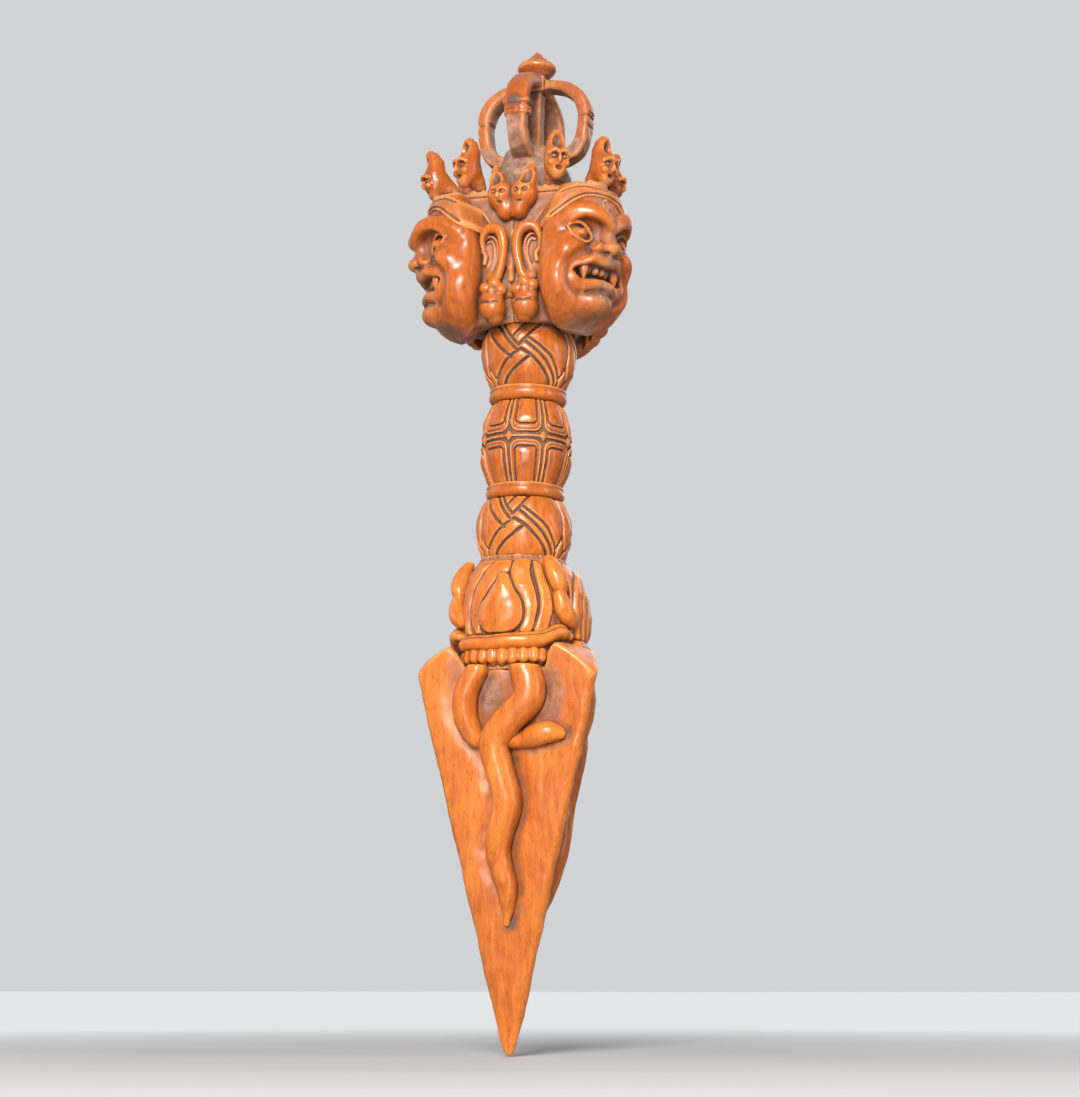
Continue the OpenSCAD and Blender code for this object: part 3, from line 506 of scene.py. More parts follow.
# each with the height of its edge, how far in it rises and by how much
PETALS = ((BUD, 1.25, 3.6, 1.15), (INNER, 0.95, 1.9, 0.4), (CRESCENT, 0.8, 1.3, 0.3), (NEXT, 0.9, 1.9, 0.45),
          (LAST, 0.9, 1.6, 0.4))
LIP = [(-45.4, 94.7), (-38, 95.3), (-28, 95.5), (-12, 95.2), (0, 95.4), (15, 95.7), (28, 96.0), (38, 96.3),
       (46, 97.3), (53, 98.2), (60, 98.2), (68, 97.6)]
# azimuth, height and size of each tooth
TEETH = [(-41.5, 91.3, 0.85), (-34.0, 91.75, 1.0), (-25, 91.75, 1.05), (-15.4, 91.65, 1.1), (-6.0, 91.6, 1.1),
         (3.4, 91.55, 1.15), (12.8, 91.55, 1.15), (22.2, 91.75, 1.1), (31.6, 92.0, 1.05), (39.6, 91.9, 0.9)]


def on_block(a, r, z):
    return at(a + BLOCK_TURN, r, z)


def block_radius(z):
    h = np.clip(z - SOCKET, 0, 27.4)
    shape = ((0, 0.95), (5, 0.965), (9, 0.985), (14, 1.0), (19, 0.975), (23.5, 0.88), (27, 10.2 / BLOCK_R))
    return BLOCK_R * np.interp(h, [p[0] for p in shape], [p[1] for p in shape])


def outline(points, n=3):
    """A closed outline through its points, softly rounded, in millimetres."""
    p = np.array([(math.radians(a) * PETAL_R, z) for a, z in points])
    return spline(np.concatenate([p[-1:], p, p[:2]]), n)[n:-n - 1]


def make_lotus():
    """Bands and a bud raised off a rounded base, with grooves between them."""
    c = Clay((-15.2, -19.2, 97.2), (14.6, -7.6, 116.6), 0.2)
    left, right = math.radians(-46.5) * PETAL_R, math.radians(51) * PETAL_R

    def petals(x, y, z):
        az, rr = polar(x, y, BLOCK_TURN)
        u, z = np.broadcast_arrays((np.radians(az) * PETAL_R).astype(F32), z)
        h = np.full(u.shape, 0.55, F32)
        for points, edge, soft, top in PETALS:
            e = np.clip(0.3 - inside_loop(outline(points), u, z), 0, None)
            rise = edge * np.clip(e / 0.45, 0, 1) ** 0.55 + top * dome(e, soft)
            h = np.maximum(h, np.where(e > 0, 0.55 + rise, 0))
        base = block_radius(z)
        lim = np.maximum(np.maximum(u - right, left - u), np.maximum(97.6 - z, z - 116.0))
        return np.maximum(np.maximum((rr - (base + h)) * 0.72, base - 2.2 - rr), lim)

    c.field(petals)
    return c


def make_block():
    c = Clay((-16.6, -16.6, 88.2), (16.6, 16.6, 118.2), 0.26)

    def body(x, y, z):
        az, rr = polar(x, y)
        tool = 0.10 * np.sin(az * 0.37 + 1.9 * np.sin(z * 0.8)) + 0.08 * np.sin(az * 0.9 + z * 1.7)
        d = (rr - (block_radius(z) + 0.35 + tool)) * 0.8
        return np.maximum(d, np.maximum(SOCKET - 0.6 - z, z - BLOCK_TOP))

    c.field(body)
    # the scooped hollow beside each scroll, open at its top
    for turn in THIRDS:
        c.egg(on_block(71 + turn, 15.4, 108.2), (3.0, 3.0, 8.4), 0.8, True)
        c.egg(on_block(69 + turn, 15.0, 114.2), (3.2, 3.2, 4.0), 0.8, True)
    return c


def make_scroll():
    """A plump roll that twists down from the collar into the corner."""
    c = Clay((3.8, -19.8, 97.8), (19.8, -4.2, 117.4), 0.2)
    upper = [(48.5, 13.0, 115.9, 1.3), (49.5, 13.9, 114.2, 1.9), (51.2, 14.8, 112.0, 2.25),
             (53.8, 15.3, 109.9, 2.1), (56.6, 15.3, 108.4, 1.5)]
    lower = [(54.2, 14.9, 108.2, 1.1), (55.6, 15.3, 106.6, 1.9), (58.6, 15.5, 104.4, 2.3),
             (64.0, 15.4, 102.6, 2.3), (70.5, 15.0, 101.6, 1.9), (76.0, 14.6, 101.2, 1.3)]
    for line, k in ((upper, 0.0), (lower, 0.35)):
        c.rope([(*on_block(a, r, z), w) for a, r, z, w in line], k, n=5)
    # a fold along each lobe
    for line in ([(53.6, 17.0, 114.0), (55.2, 17.5, 112.0), (58.0, 17.4, 110.0)],
                 [(61.0, 17.6, 106.6), (65.5, 17.6, 104.8), (71.5, 17.0, 103.8)]):
        c.tube([on_block(*p) for p in line], 0.42, 0.6, True)
    c.trim(lambda x, y, z: block_radius(z) - 1.6 - np.sqrt(x * x + y * y))
    c.trim(lambda x, y, z: z - 116.9)
    return c


def make_lip():
    c = Clay((-16.6, -19.4, 91.4), (18.6, -3.8, 101.2), 0.2)

    def line(out, up=0.0):
        return np.array([on_block(a, block_radius(z) + out, z + up) for a, z in spline(LIP, 5)])

    n = np.arange(len(line(0)))
    end = np.minimum(n / 5.0, n[::-1] / 7.0).clip(0.25, 1) ** 0.5
    c.tube(line(1.5), 1.85 * end)
    c.tube(line(0.2), 2.0 * end, 0.8)
    c.tube(line(2.9, 1.25)[4:-4], 0.3, 0.4, True)
    return c


def make_teeth():
    """The row of teeth under the lip, run together like a scalloped band."""
    c = Clay((-13.4, -17.6, 89.2), (13.4, -8.4, 94.8), 0.2)
    c.tube([on_block(a, 14.2, 92.5) for a in range(-44, 47, 6)], 1.4)
    for a, z, size in TEETH:
        line = [on_block(a, 14.9, z + 1.3), on_block(a, 15.1, z), on_block(a, 14.6, z - 0.7)]
        c.tube(line, [1.2 * size, 1.28 * size, 0.9 * size], 0.6)
    return c


# The knots, the collars and the grip.

# The edges of the straps, as grooves of (azimuth, height) on the upper knot; they repeat every 120 degrees.
GROOVES = [
    # both edges of the arm that goes down to the left
    [(5, 168), (-11, 166), (-20, 164.5), (-28, 163), (-39, 161), (-46, 157.5)],
    [(18, 166.5), (4, 164.5), (-7, 163), (-17, 161.5), (-25, 160), (-29, 157.5)],
    # the two lanes that pass over its end and go down to the right
    [(5, 168), (18, 166.5), (30, 164.5), (41, 162.5), (52, 160), (55, 157.5)],
    [(10, 170), (26, 167.5), (38, 165.5), (50, 163), (61, 160.5), (64, 157.5)],
    [(14, 171), (32, 168.5), (45, 166.5), (55, 164), (65, 161.5), (69, 157.5)],
    # both edges of the arm that rises to the right
    [(2, 169), (10, 170.5), (18, 172.5), (30, 174.5), (42, 177.5)],
    [(-7, 171), (0, 172.5), (12, 175.5), (20, 178)],
    # the two lanes that come down from the left
    [(-34, 175.5), (-24, 173.5), (-12, 170.5), (-1, 168)],
    [(-27, 177), (-18, 174), (-7, 171), (2, 169)],
    [(-46, 174), (-38, 172), (-29, 170), (-19, 168), (-7, 166)],
    # between the lobes of two faces, and under them
    [(66, 162), (72, 165.5), (71, 169.5), (67, 173), (62, 177)],
    [(-48, 165), (-43, 163), (-38, 161.5)],
]
KNOT_ARC = 10.6                   # radius by which degrees become millimetres along a knot
PANEL_ARC = 10.7                  # the same on the grip
PANEL_TURN = 14.7
PANEL = 45                        # degrees from one panel to the next
GRIP_MID = 146.45                 # the strip between the two rows of panels


def swell(lo, hi, end, mid):
    """Radius of a barrel as an arc, for each height."""
    h, rise = hi - lo, mid - end
    arc = (h * h / 4 + rise * rise) / (2 * rise)
    return lambda z: mid - arc + np.sqrt(np.maximum(arc * arc - (z - (lo + hi) / 2) ** 2, 0.01))


def bump(d, mid, width):
    return np.exp(-((d - mid) / width) ** 2)


def make_knot(low, high, end, shift=0.0, stretch=1.0):
    """Straps that cross on each blade face."""
    c = Clay((-12.6, -12.6, low - 0.4), (12.6, 12.6, high + 0.4), 0.2)
    base = swell(low, high, end, KNOT_R)
    period = math.radians(120) * KNOT_ARC
    lines = [spline([(math.radians(a) * KNOT_ARC, low + (z - KNOT_FOOT) * stretch) for a, z in points], 3)
             for points in GROOVES]

    def straps(x, y, z):
        az, rr = polar(x, y)
        az = ((az - shift + 53) % 120) - 53
        u, z = np.broadcast_arrays(np.radians(az).astype(F32) * KNOT_ARC, z)
        d = np.full(u.shape, 3.0, F32)
        for line in lines:
            for off in (-period, 0, period):
                near = (u[:, :, 0] > line[:, 0].min() + off - 3) & (u[:, :, 0] < line[:, 0].max() + off + 3)
                if near.any():
                    d[near] = np.minimum(d[near], to_line(line + [off, 0], u[near], z[near]))
        d = np.maximum(d - 0.2, 0)
        rise = 0.62 + 0.45 * dome(d, 2.4)
        h = np.where(d > 0, rise * np.clip(d / 0.3, 0, 1) ** 0.6 + 0.10 * bump(d, 0.36, 0.2), 0)
        return np.maximum(np.maximum((rr - (base(z) - 0.45 + h)) * 0.75, z - high), low - z)

    c.field(straps)
    return c


def make_collar(low):
    """A round ring with a fine rim on top."""
    c = Clay((-10.6, -10.6, low - 0.5), (10.6, 10.6, low + 4.3), 0.2)

    def body(x, y, z):
        az, rr = polar(x, y)
        mid = z - (low + 1.9) - (0.06 * wave(az, 3, 40) + 0.05 * wave(az, 7))
        ring = np.sqrt(np.maximum(rr - 7.9, 0) ** 2 + mid ** 2) - 1.72
        rim = np.sqrt((rr - 9.15) ** 2 + (z - (low + 3.45)) ** 2) - 0.34
        return soft_min(np.maximum(ring, np.abs(mid) - 1.86), rim, 0.35)

    c.field(body)
    return c


def make_grip():
    """Two rows of panels, each in a border with a fine line, a strip and its gems between them."""
    c = Clay((-12.6, -12.6, GRIP_LOW - 0.3), (12.6, 12.6, GRIP_TOP + 0.3), 0.2)
    base = swell(GRIP_LOW, GRIP_TOP, 8.5, GRIP_R)
    # which way from the strip, the border's edge, the panel's edge and the rounding of its corners
    rows = ((1, 147.35, 149.9, 1.0), (-1, 145.55, 143.45, 0.7))

    def body(x, y, z):
        az, rr = polar(x, y, PANEL_TURN)
        az = (az + PANEL / 2) % PANEL - PANEL / 2
        u, z, barrel = np.broadcast_arrays(np.radians(az).astype(F32) * PANEL_ARC, z, base(z))
        h = np.full(u.shape, -0.75, F32)
        for way, edge, panel, rounding in rows:
            mid = GRIP_MID + way * 10.0
            up = np.abs(z - mid)
            outer = corner(np.abs(u) - 3.98, up - abs(mid - edge), 2.3)
            inner = corner(np.abs(u) - 2.35, up - abs(mid - panel), rounding)
            g = np.where(outer < -0.05, 0.42 * np.clip((-outer - 0.05) / 0.4, 0, 1) ** 0.6, 0)
            g = g + 0.12 * bump(-outer, 0.3, 0.16)
            g = g - 0.30 * bump(-outer, 0.82, 0.15)
            g = g - 0.95 * bump(inner, 0.36, 0.24)
            g = np.where(inner < 0.12, 0.36 + 0.42 * np.clip(-inner / 1.5, 0, 1) ** 0.7, g)
            h = np.where((way * (z - GRIP_MID) > 0) & (outer < -0.05), -0.42 + g, h)
        strip = np.abs(z - GRIP_MID)
        band = -0.45 + 0.34 * np.sqrt(np.clip(1 - (strip / 0.42) ** 2, 0, 1))
        h = np.maximum(h, np.where(strip < 0.42, band, -0.75))
        gem = np.abs(np.abs(u) - math.radians(PANEL / 2) * PANEL_ARC) / 1.25 + strip / 1.35
        h = np.maximum(h, np.where(gem < 1, -0.35 + 0.75 * np.sqrt(np.clip(1 - gem, 0, 1)), -0.75))
        return np.maximum((rr - (barrel + h)) * 0.7, np.maximum(GRIP_LOW - z, z - GRIP_TOP))

    c.field(body)
    return c


# The three wrathful heads: a general carved mask, front towards -Y. Width and depth are shares of
# HEAD_W and HEAD_D for each height over the jaw.

HEAD_W = 13.8
HEAD_D = 15.4
HEAD_MID = 13.5                   # how far out the middle of a head lies
FRONT = ((0, 0.2), (2.2, 0.4), (4.6, 0.66), (6.9, 0.735), (10.8, 0.75), (14, 0.78), (18.5, 0.82),
         (24.5, 0.885), (28.5, 0.875), (32.5, 0.81), (35, 0.76))
SIDE = ((0, 0.45), (2.5, 0.72), (6, 0.92), (10.5, 0.98), (18.5, 1), (26.5, 0.98), (32.5, 0.93), (35, 0.88))
BAND_LOW = [(6.2, 203.9), (12.3, 203.3), (18.5, 201.8), (25, 199.4), (30, 197.7), (34, 196.7), (38, 196.0),
            (42, 195.8)]
BAND_TOP = [(9, 206.0), (17.5, 205.8), (24, 204.7), (30, 202.8), (34, 201.2), (37.5, 199.4), (41, 197.8),
            (43.5, 196.4)]


def softened(z, size, shares):
    """A size for each height, from shares of it whose corners are rounded off."""
    t = np.linspace(shares[0][0], shares[-1][0], 200)
    v = np.interp(t, [p[0] for p in shares], [p[1] for p in shares])
    v = np.convolve(np.pad(v, 7, mode="edge"), np.ones(15) / 15, mode="valid")
    return size * np.interp(z - JAW, t, v).astype(F32)


def plain_head(x, y, z):
    radii = softened(z, HEAD_W, SIDE), softened(z, HEAD_D, FRONT)
    return np.maximum(ellipsoid((x, -y - HEAD_MID), radii) * 0.86, JAW + 0.4 - z)


def ground_depth(x, y, z, s):
    """How far out a point lies from the ground beside the head, which sinks under the jaw."""
    return s * x * math.sin(math.radians(60)) - y * 0.5 - SEAT + 2.6 * step(z, 180.0, 174.6)


def make_face():
    c = Clay((-15.6, -32.4, 170.2), (15.6, -5.2, 206.9), 0.24)

    c.field(plain_head)
    # jaw: a full round chin and jowls, cheeks below the eyes
    for _ in c.sides():
        c.egg((8.0, -19.2, 182.8), (4.9, 5.3, 5.6), 3.0)
        c.egg((5.2, -16.6, 176.8), (4.9, 5.2, 3.6), 2.4)
        c.egg((8.4, -22.3, 189.2), (3.5, 3.7, 3.4), 3.0)
    c.egg((0, -22.2, 177.8), (4.6, 4.0, 3.3), 2.0)

    # the muzzle, pointed in the middle, and the deep fold between it and the cheeks
    c.ropes([(0, -26.6, 187.6, 2.0), (3.4, -25.8, 187.6, 2.0), (6.0, -23.9, 186.8, 1.8),
             (7.9, -21.8, 184.4, 1.7), (7.4, -22.0, 181.6, 1.6), (5.4, -23.6, 180.6, 1.4),
             (2.8, -24.9, 180.6, 1.3), (0, -25.2, 180.8, 1.2)], 1.6)
    for s in (-1, 1):
        fold = spline([(s * 4.1, 191.0, 0.5), (s * 5.6, 189.2, 0.9), (s * 7.7, 187.6, 1.1),
                       (s * 9.6, 185.2, 1.15), (s * 10.0, 182.3, 1.0), (s * 8.8, 179.9, 0.8),
                       (s * 6.6, 178.7, 0.5)])
        c.tube(relaxed(c.on_front(fold[:, :2], 0.35), 4), fold[:, 2], 2.0, True)
    # brow: heavy ridges that sweep down to the root of the nose
    c.ropes([(0.5, -29.0, 195.3, 1.2), (2.0, -29.2, 197.0, 1.65), (4.4, -28.3, 198.5, 1.9),
             (6.9, -26.2, 198.9, 1.9), (9.0, -23.6, 197.9, 1.6), (10.6, -20.8, 196.0, 1.0)], 2.0)
    c.ropes([(1.1, -30.0, 195.4, 0.7), (2.6, -30.1, 196.5, 0.85), (4.8, -29.2, 197.6, 0.8),
             (7.4, -27.0, 197.7, 0.7), (9.2, -24.6, 196.5, 0.5)], 1.0)
    # frown between the brows
    c.egg((0, -30.4, 199.0), (0.9, 1.5, 2.2), 0.8, True)
    # eye hollows, deepest beside the nose
    for _ in c.sides():
        c.egg((6.3, -26.9, 193.9), (4.0, 3.2, 2.7), 1.0, True)
        c.egg((3.4, -28.2, 193.2), (1.5, 2.2, 1.8), 0.9, True)
    # nose: a narrow bridge, a heavy hooked tip and broad wings
    c.rope([(0, -28.4, 196.2, 1.5), (0, -27.6, 194.2, 1.5), (0, -27.8, 192.4, 1.8),
            (0, -28.0, 190.8, 2.2)], 1.0)
    c.egg((0, -28.9, 190.1), (2.3, 2.2, 1.75), 0.6)
    for _ in c.sides():
        c.egg((2.9, -27.2, 190.2), (1.75, 1.9, 1.6), 0.4)
        c.egg((4.4, -27.6, 191.6), (0.8, 1.2, 1.3), 0.9, True)
        c.egg((1.4, -29.0, 188.6), (0.75, 0.9, 0.6), 0.3, True)
    # the open mouth
    c.egg((0, -26.4, 184.3), (5.0, 4.4, 1.8), 0.5, True)
    for _ in c.sides():
        c.egg((4.6, -24.6, 184.2), (3.2, 3.4, 1.65), 0.5, True)
        c.egg((3.0, -26.8, 185.3), (2.4, 2.8, 1.2), 0.5, True)
    # lips, thick and rolled
    c.ropes([(0, -27.3, 186.6, 0.85), (1.6, -27.2, 186.9, 0.95), (3.7, -26.1, 187.3, 0.95),
             (5.7, -24.4, 186.8, 0.85), (7.2, -22.6, 185.4, 0.7), (7.9, -21.7, 183.8, 0.5)], 0.45)
    c.ropes([(0, -25.8, 181.9, 1.15), (2.0, -25.8, 181.6, 1.25), (4.2, -24.8, 181.5, 1.2),
             (6.0, -23.2, 182.0, 1.0), (7.3, -21.9, 183.1, 0.6)], 0.45)
    # the groove under the lower lip, and the ball of the chin
    c.ropes([(0, -26.5, 179.7, 0.4), (2.0, -26.2, 179.5, 0.4), (4.0, -25.1, 179.3, 0.25)], 1.4, True)
    c.egg((0, -24.2, 177.5), (3.6, 2.9, 2.3), 1.4)
    # teeth and fangs
    for x, r in ((0.98, 0.95), (2.8, 0.88)):
        for _ in c.sides():
            c.egg((x, -24.5 + 0.12 * x * x, 185.6), (r, 1.1, 1.2), 0.12)
            c.egg((x * 0.92, -24.0 + 0.1 * x * x, 182.5), (r * 0.85, 0.9, 0.7), 0.12)
    for _ in c.sides():
        c.rope([(4.6, -24.2, 186.2, 1.3), (4.8, -24.6, 184.9, 1.05), (4.95, -24.7, 183.0, 0.4)], 0.15)
        c.egg((6.4, -22.4, 184.2), (0.75, 0.9, 0.95), 0.15)
    # round eyes deep under the brow, in thick lids that follow the ball
    upper_lid = [(9.7, 194.9, 0.3), (8.6, 195.8, 0.42), (7.0, 196.1, 0.48), (5.4, 195.5, 0.45),
                 (4.2, 194.3, 0.4), (3.4, 192.9, 0.3)]
    lower_lid = [(9.7, 194.8, 0.3), (8.6, 193.1, 0.38), (7.1, 192.0, 0.42), (5.5, 191.6, 0.4),
                 (4.3, 191.9, 0.36), (3.4, 192.8, 0.3)]
    for _ in c.sides():
        c.egg((6.2, -23.7, 193.7), (2.7, 2.0, 1.75), 0.2)
        for lid in (upper_lid, lower_lid):
            c.rope([(x, -25.45 + 0.105 * max(x - 5.6, 0) ** 2 - 0.1 * max(5.6 - x, 0), z, r)
                    for x, z, r in lid], 0.25)
        c.egg((6.4, -25.35, 193.8), (0.95, 0.75, 0.95), 0.1)
    # third eye, upright on the forehead
    for s in (-1, 1):
        p = spline([(0, 203.1), (s * 0.62, 202.4), (s * 0.74, 201.4), (s * 0.5, 200.5), (0, 200.0)])
        c.tube(c.on_front(p, 0.1), 0.3, 0.2)
    c.egg(c.on_front([(0, 201.5)], -0.15)[0], (0.42, 0.4, 0.8), 0.1)

    # the side walls of the head, and the ground between two heads that the ears lie on
    for s in (-1, 1):
        c.trim(lambda x, y, z: 7.5 + 0.0125 * (z - 187.0) ** 2 + s * x * 0.5 + y * 0.866, 3.4)

    def ground(x, y, z):
        out = np.maximum(ground_depth(x, y, z, -1), ground_depth(x, y, z, 1)) + 0.02
        return soft_max(np.maximum(out, np.maximum(y + 4.0, -y - 17.6)), 174.4 - z, 1.6)

    c.field(ground, 1.3)
    # fine hair lines above the ears
    for s in (-1, 1):
        for i in range(15):
            a = s * (60.2 - i * 2.0 + 0.6 * math.sin(i * 2.3))
            low, high = 197.2 + 0.15 * i, 203.4 - 0.1 * i
            p = c.on_round([(a - s * 0.25 * i * t, low + (high - low) * t)
                            for t in np.linspace(0, 1, 4)], 0.07)
            c.tube(p, 0.12, 0.1, True)

    # cut to a third, hollow for the core and for the knot, level on top
    half = math.radians(59.96)
    for s in (-1, 1):
        c.trim(lambda x, y, z: s * x * math.cos(half) + y * math.sin(half))

    def room(x, y, z):
        """The knot and the core, which it is set against."""
        knot = swell(KNOT_FOOT, NECK, 8.2, KNOT_R)(z) + 0.75
        return np.where(z < NECK + 0.1, knot, CORE_R + 0.2) - np.sqrt(x * x + y * y)

    c.trim(room, 0.3)
    c.trim(lambda x, y, z: z - 206.3)
    return c


def face_soil(x, y, z):
    """Dust on the ground between the heads and under the jaw."""
    out = np.maximum(np.maximum(ground_depth(x, y, z, -1), ground_depth(x, y, z, 1)), 0)
    film = 0.55 * (1 - step(out, 0.6, 4.4))
    return np.maximum(np.maximum(1 - step(out, 0.15, 2.2), film), 0.4 * step(z, 174.2, 172.2))


def ear_soil(x, y, z):
    """Dust in the hollow of the ear and on the flat behind it."""
    return 0.75 * step(y, -16.7, -15.7)


def make_diadem(face):
    """The broad band over the forehead, between its two fine rims; it runs down to the ears."""
    c = Clay((-15.4, -30.8, 193.6), (15.4, -11.2, 207.4), 0.18)
    low, top = (spline([(-a, z) for a, z in half[::-1]] + [(0, middle)] + half)
                for half, middle in ((BAND_LOW, 204.0), (BAND_TOP, 206.0)))

    def line(t, lift):
        return relaxed(face.on_round(low * (1 - t) + top * t, lift), 2)

    for t in np.linspace(0.1, 0.9, 9):
        c.tube(line(t, 0.25 * math.sin(math.pi * t) - 0.05), 0.62, 0.3)
    for t in (0, 1):
        c.tube(line(t, 0.3), 0.36, 0.1)
    for t in (0.15, 0.85):
        c.tube(line(t, 0.68), 0.26, 0.1, True)
    return c


def make_core():
    c = Clay((-8.4, -8.4, 178.2), (8.4, 8.4, 206.8), 0.3)
    c.field(lambda x, y, z: np.maximum(np.sqrt(x * x + y * y) - CORE_R, np.abs(z - 192.4) - 13.9))
    return c


# Ears and earrings, on the flat between two heads, which faces -Y.

def make_ears():
    c = Clay((-8.8, -18.8, 182.6), (8.8, -14.2, 198.8), 0.17)
    for _ in c.sides():
        # the bowl of the ear
        c.egg((4.5, -14.4, 190.6), (3.2, 1.5, 6.3))
        # the rim: up from the cheek, over the top and down to the lobe
        c.rope([(7.2, -15.6, 192.6, 0.6), (7.3, -16.2, 194.6, 0.85), (6.3, -16.7, 196.6, 1.1),
                (4.4, -16.9, 197.1, 1.3), (2.5, -16.9, 196.0, 1.35), (1.75, -16.7, 193.6, 1.3),
                (1.8, -16.4, 190.6, 1.2), (2.4, -16.1, 187.6, 1.15), (3.2, -15.9, 185.2, 1.15),
                (4.2, -15.7, 184.0, 1.1)], 0.35)
        # the hollow and the two inner ridges
        c.egg((5.3, -17.0, 192.4), (1.9, 1.5, 3.2), 0.5, True)
        c.egg((5.0, -16.4, 189.0), (1.3, 1.1, 2.6), 0.5, True)
        for k, r in ((0, 0.38), (1, 0.34)):
            c.tube(spline([(6.6 - 0.5 * k, -15.7, 194.9 - 1.0 * k), (5.1 - 0.1 * k, -15.8, 195.4 - 1.3 * k),
                           (3.7 + 0.6 * k, -15.9, 193.9 - 1.2 * k), (3.4 + 0.8 * k, -15.8, 191.4 - 0.9 * k),
                           (3.9 + 0.75 * k, -15.6, 188.9 - 0.5 * k), (4.9 + 0.5 * k, -15.4, 187.0)]), r, 0.2)
        c.tube(spline([(7.3, -15.4, 191.8), (6.5, -15.9, 190.4), (6.7, -15.8, 188.6)]), 0.55, 0.4)
        c.egg((4.9, -15.0, 185.0), (1.7, 1.4, 1.6), 0.8)
    # the ridge between the two ears
    c.tube([(0, -14.8, 196.6), (0, -15.1, 192), (0, -15.3, 187), (0, -15.0, 184.4)],
           [0.6, 1.0, 1.15, 0.8], 0.4)
    c.trim(lambda x, y, z: y + SEAT + 0.02)
    return c


def make_earrings():
    c = Clay((-8.5, -20.2, 172.2), (8.5, -14.2, 185.2), 0.17)
    for s in c.sides():
        c.egg((4.15, -15.0, 180.8), (3.0, 1.1, 3.1))
        for k in range(5):
            a = math.radians(72 * k + 90 + 9 * s)
            c.egg((4.15 + 1.95 * s * math.cos(a), -16.4, 181.1 + 2.0 * math.sin(a)), (1.7, 1.55, 1.65), 0.45)
        c.egg((4.15, -17.1, 181.1), (1.05, 1.0, 1.05), 0.25)
        # the hanging plug
        c.tube([(4.3, -15.6, 178.4), (4.2, -15.9, 177.0), (3.8, -15.5, 175.4)], [2.8, 3.15, 2.2], 0.9)
        c.tube([(2.2, -18.0, 178.2), (4.2, -18.8, 177.9), (6.2, -18.0, 178.2)], 0.3, 0.5, True)
    c.tube([(-1.8, -15.0, 180.6), (1.8, -15.0, 180.6)], 0.8, 0.3)
    c.trim(lambda x, y, z: y + SEAT + 0.02)
    return c


# The crown, the finial, the skulls.

CROWN_LOBE = 13.5                 # how far out the middle of each lobe of the crown lies
BULB_R = 9.5
BULB_RISE = 8.05                  # half the height of the bulb
PRONG_OUT = [(6.95, 218.0), (11.9, 220.0), (14.2, 223.6), (14.9, 228.4), (14.9, 232.4), (13.4, 236.4),
             (9.8, 240.0), (5.4, 241.7), (2.9, 242.1)]
PRONG_IN = [(6.95, 221.5), (9.4, 222.8), (11.1, 225.2), (11.8, 228.8), (11.8, 232.0), (10.6, 235.0),
            (7.55, 237.6), (4.7, 238.6), (2.9, 239.0)]
# how much of the drop of the lower prongs each of the last points takes
DROP_OUT = [0, 0, 0, 0, 0, 0, 0.5, 1, 1]
DROP_IN = [0, 0, 0, 0, 0, 0, 0, 0, 0.3]
CAP = [(0, 242.45), (2.4, 242.45), (3.3, 243.15), (4.3, 243.95), (4.9, 244.7), (CAP_R, 245.3), (4.65, 245.95),
       (4.0, 246.3), (3.45, 246.55), (3.3, 246.85), (2.4, 247.7), (1.45, 248.65), (0.7, 249.4), (0.3, 249.85),
       (0, TOP), (-1, TOP), (-1, 242.45)]


def make_crown():
    c = Clay((-27, -27, 205.6), (27, 27, 209.8), 0.26)

    def plate(x, y, z):
        az, rr = polar(x, y)
        out = rr - 15.2
        for a in HEADS:
            u, v = facing(x, y, a)
            out = soft_min(out, np.sqrt(u ** 2 + (v + CROWN_LOBE) ** 2) - 11.9, 1.0)
        for turn in THIRDS:
            out = soft_max(out, -facing(x, y, turn + HEAD_TURN)[1] - 14.5, 0.8)
        edge = np.maximum(out + 0.7 + 0.10 * wave(az, 7, 20) + 0.08 * wave(az, 13), 0)
        hair = 0.45 * np.abs(np.sin(np.radians(az * 21) + 0.9 * np.sin(rr * 0.7 + az * 0.05)))
        hair = hair * np.clip((rr - 9.0) / 3.0, 0, 1) * (z > CROWN_MID)
        level = np.maximum(np.abs(z - CROWN_MID) - 0.35 + hair, 0)
        return (np.sqrt(edge * edge + level ** 2) - 0.75) * 0.9

    c.field(plate)
    return c


def make_finial_base():
    """A rough round bulb with cut facets, and the square hub that the prongs stand on."""
    c = Clay((-10.6, -10.6, 208.0), (10.6, 10.6, 223.0), 0.22)
    rng = np.random.default_rng(5)

    def bulb(x, y, z):
        z = z - BULB_MID
        d = np.sqrt(x * x + y * y + (z * 1.18) ** 2) - BULB_R
        for _ in range(34):
            a, e = rng.uniform(0, 2 * math.pi), rng.uniform(-0.25, 0.9)
            reach = math.hypot(BULB_R * math.cos(e), BULB_RISE * math.sin(e)) - rng.uniform(0.25, 0.75)
            out = x * math.cos(a) * math.cos(e) + y * math.sin(a) * math.cos(e) + z * math.sin(e)
            d = soft_max(d, out - reach, 0.35)
        return d

    def hub(x, y, z):
        u, v = facing(x, y, FINIAL_TURN)
        half = table(z, (215, 6.3), (217.5, 6.6), (219.5, 6.8), (HUB_TOP, 6.6))
        d = corner(np.abs(u) - half, np.abs(v) - half, 3.4)
        return soft_max(d, np.maximum(z - HUB_TOP, 214.5 - z), 2.0)

    c.field(bulb)
    c.field(hub, 2.2)
    c.trim(lambda x, y, z: CROWN_TOP - z)
    # scratches
    for _ in range(40):
        a, z = rng.uniform(-180, 180), rng.uniform(210, 220.5)
        p = c.land(np.array([at(a, 12, z)]), np.array([-at(a, 1, 0)]), 30.0)[0]
        c.tube([p, p + rng.normal(0, 1.0, 3)], 0.16, 0.2, True)
    return c


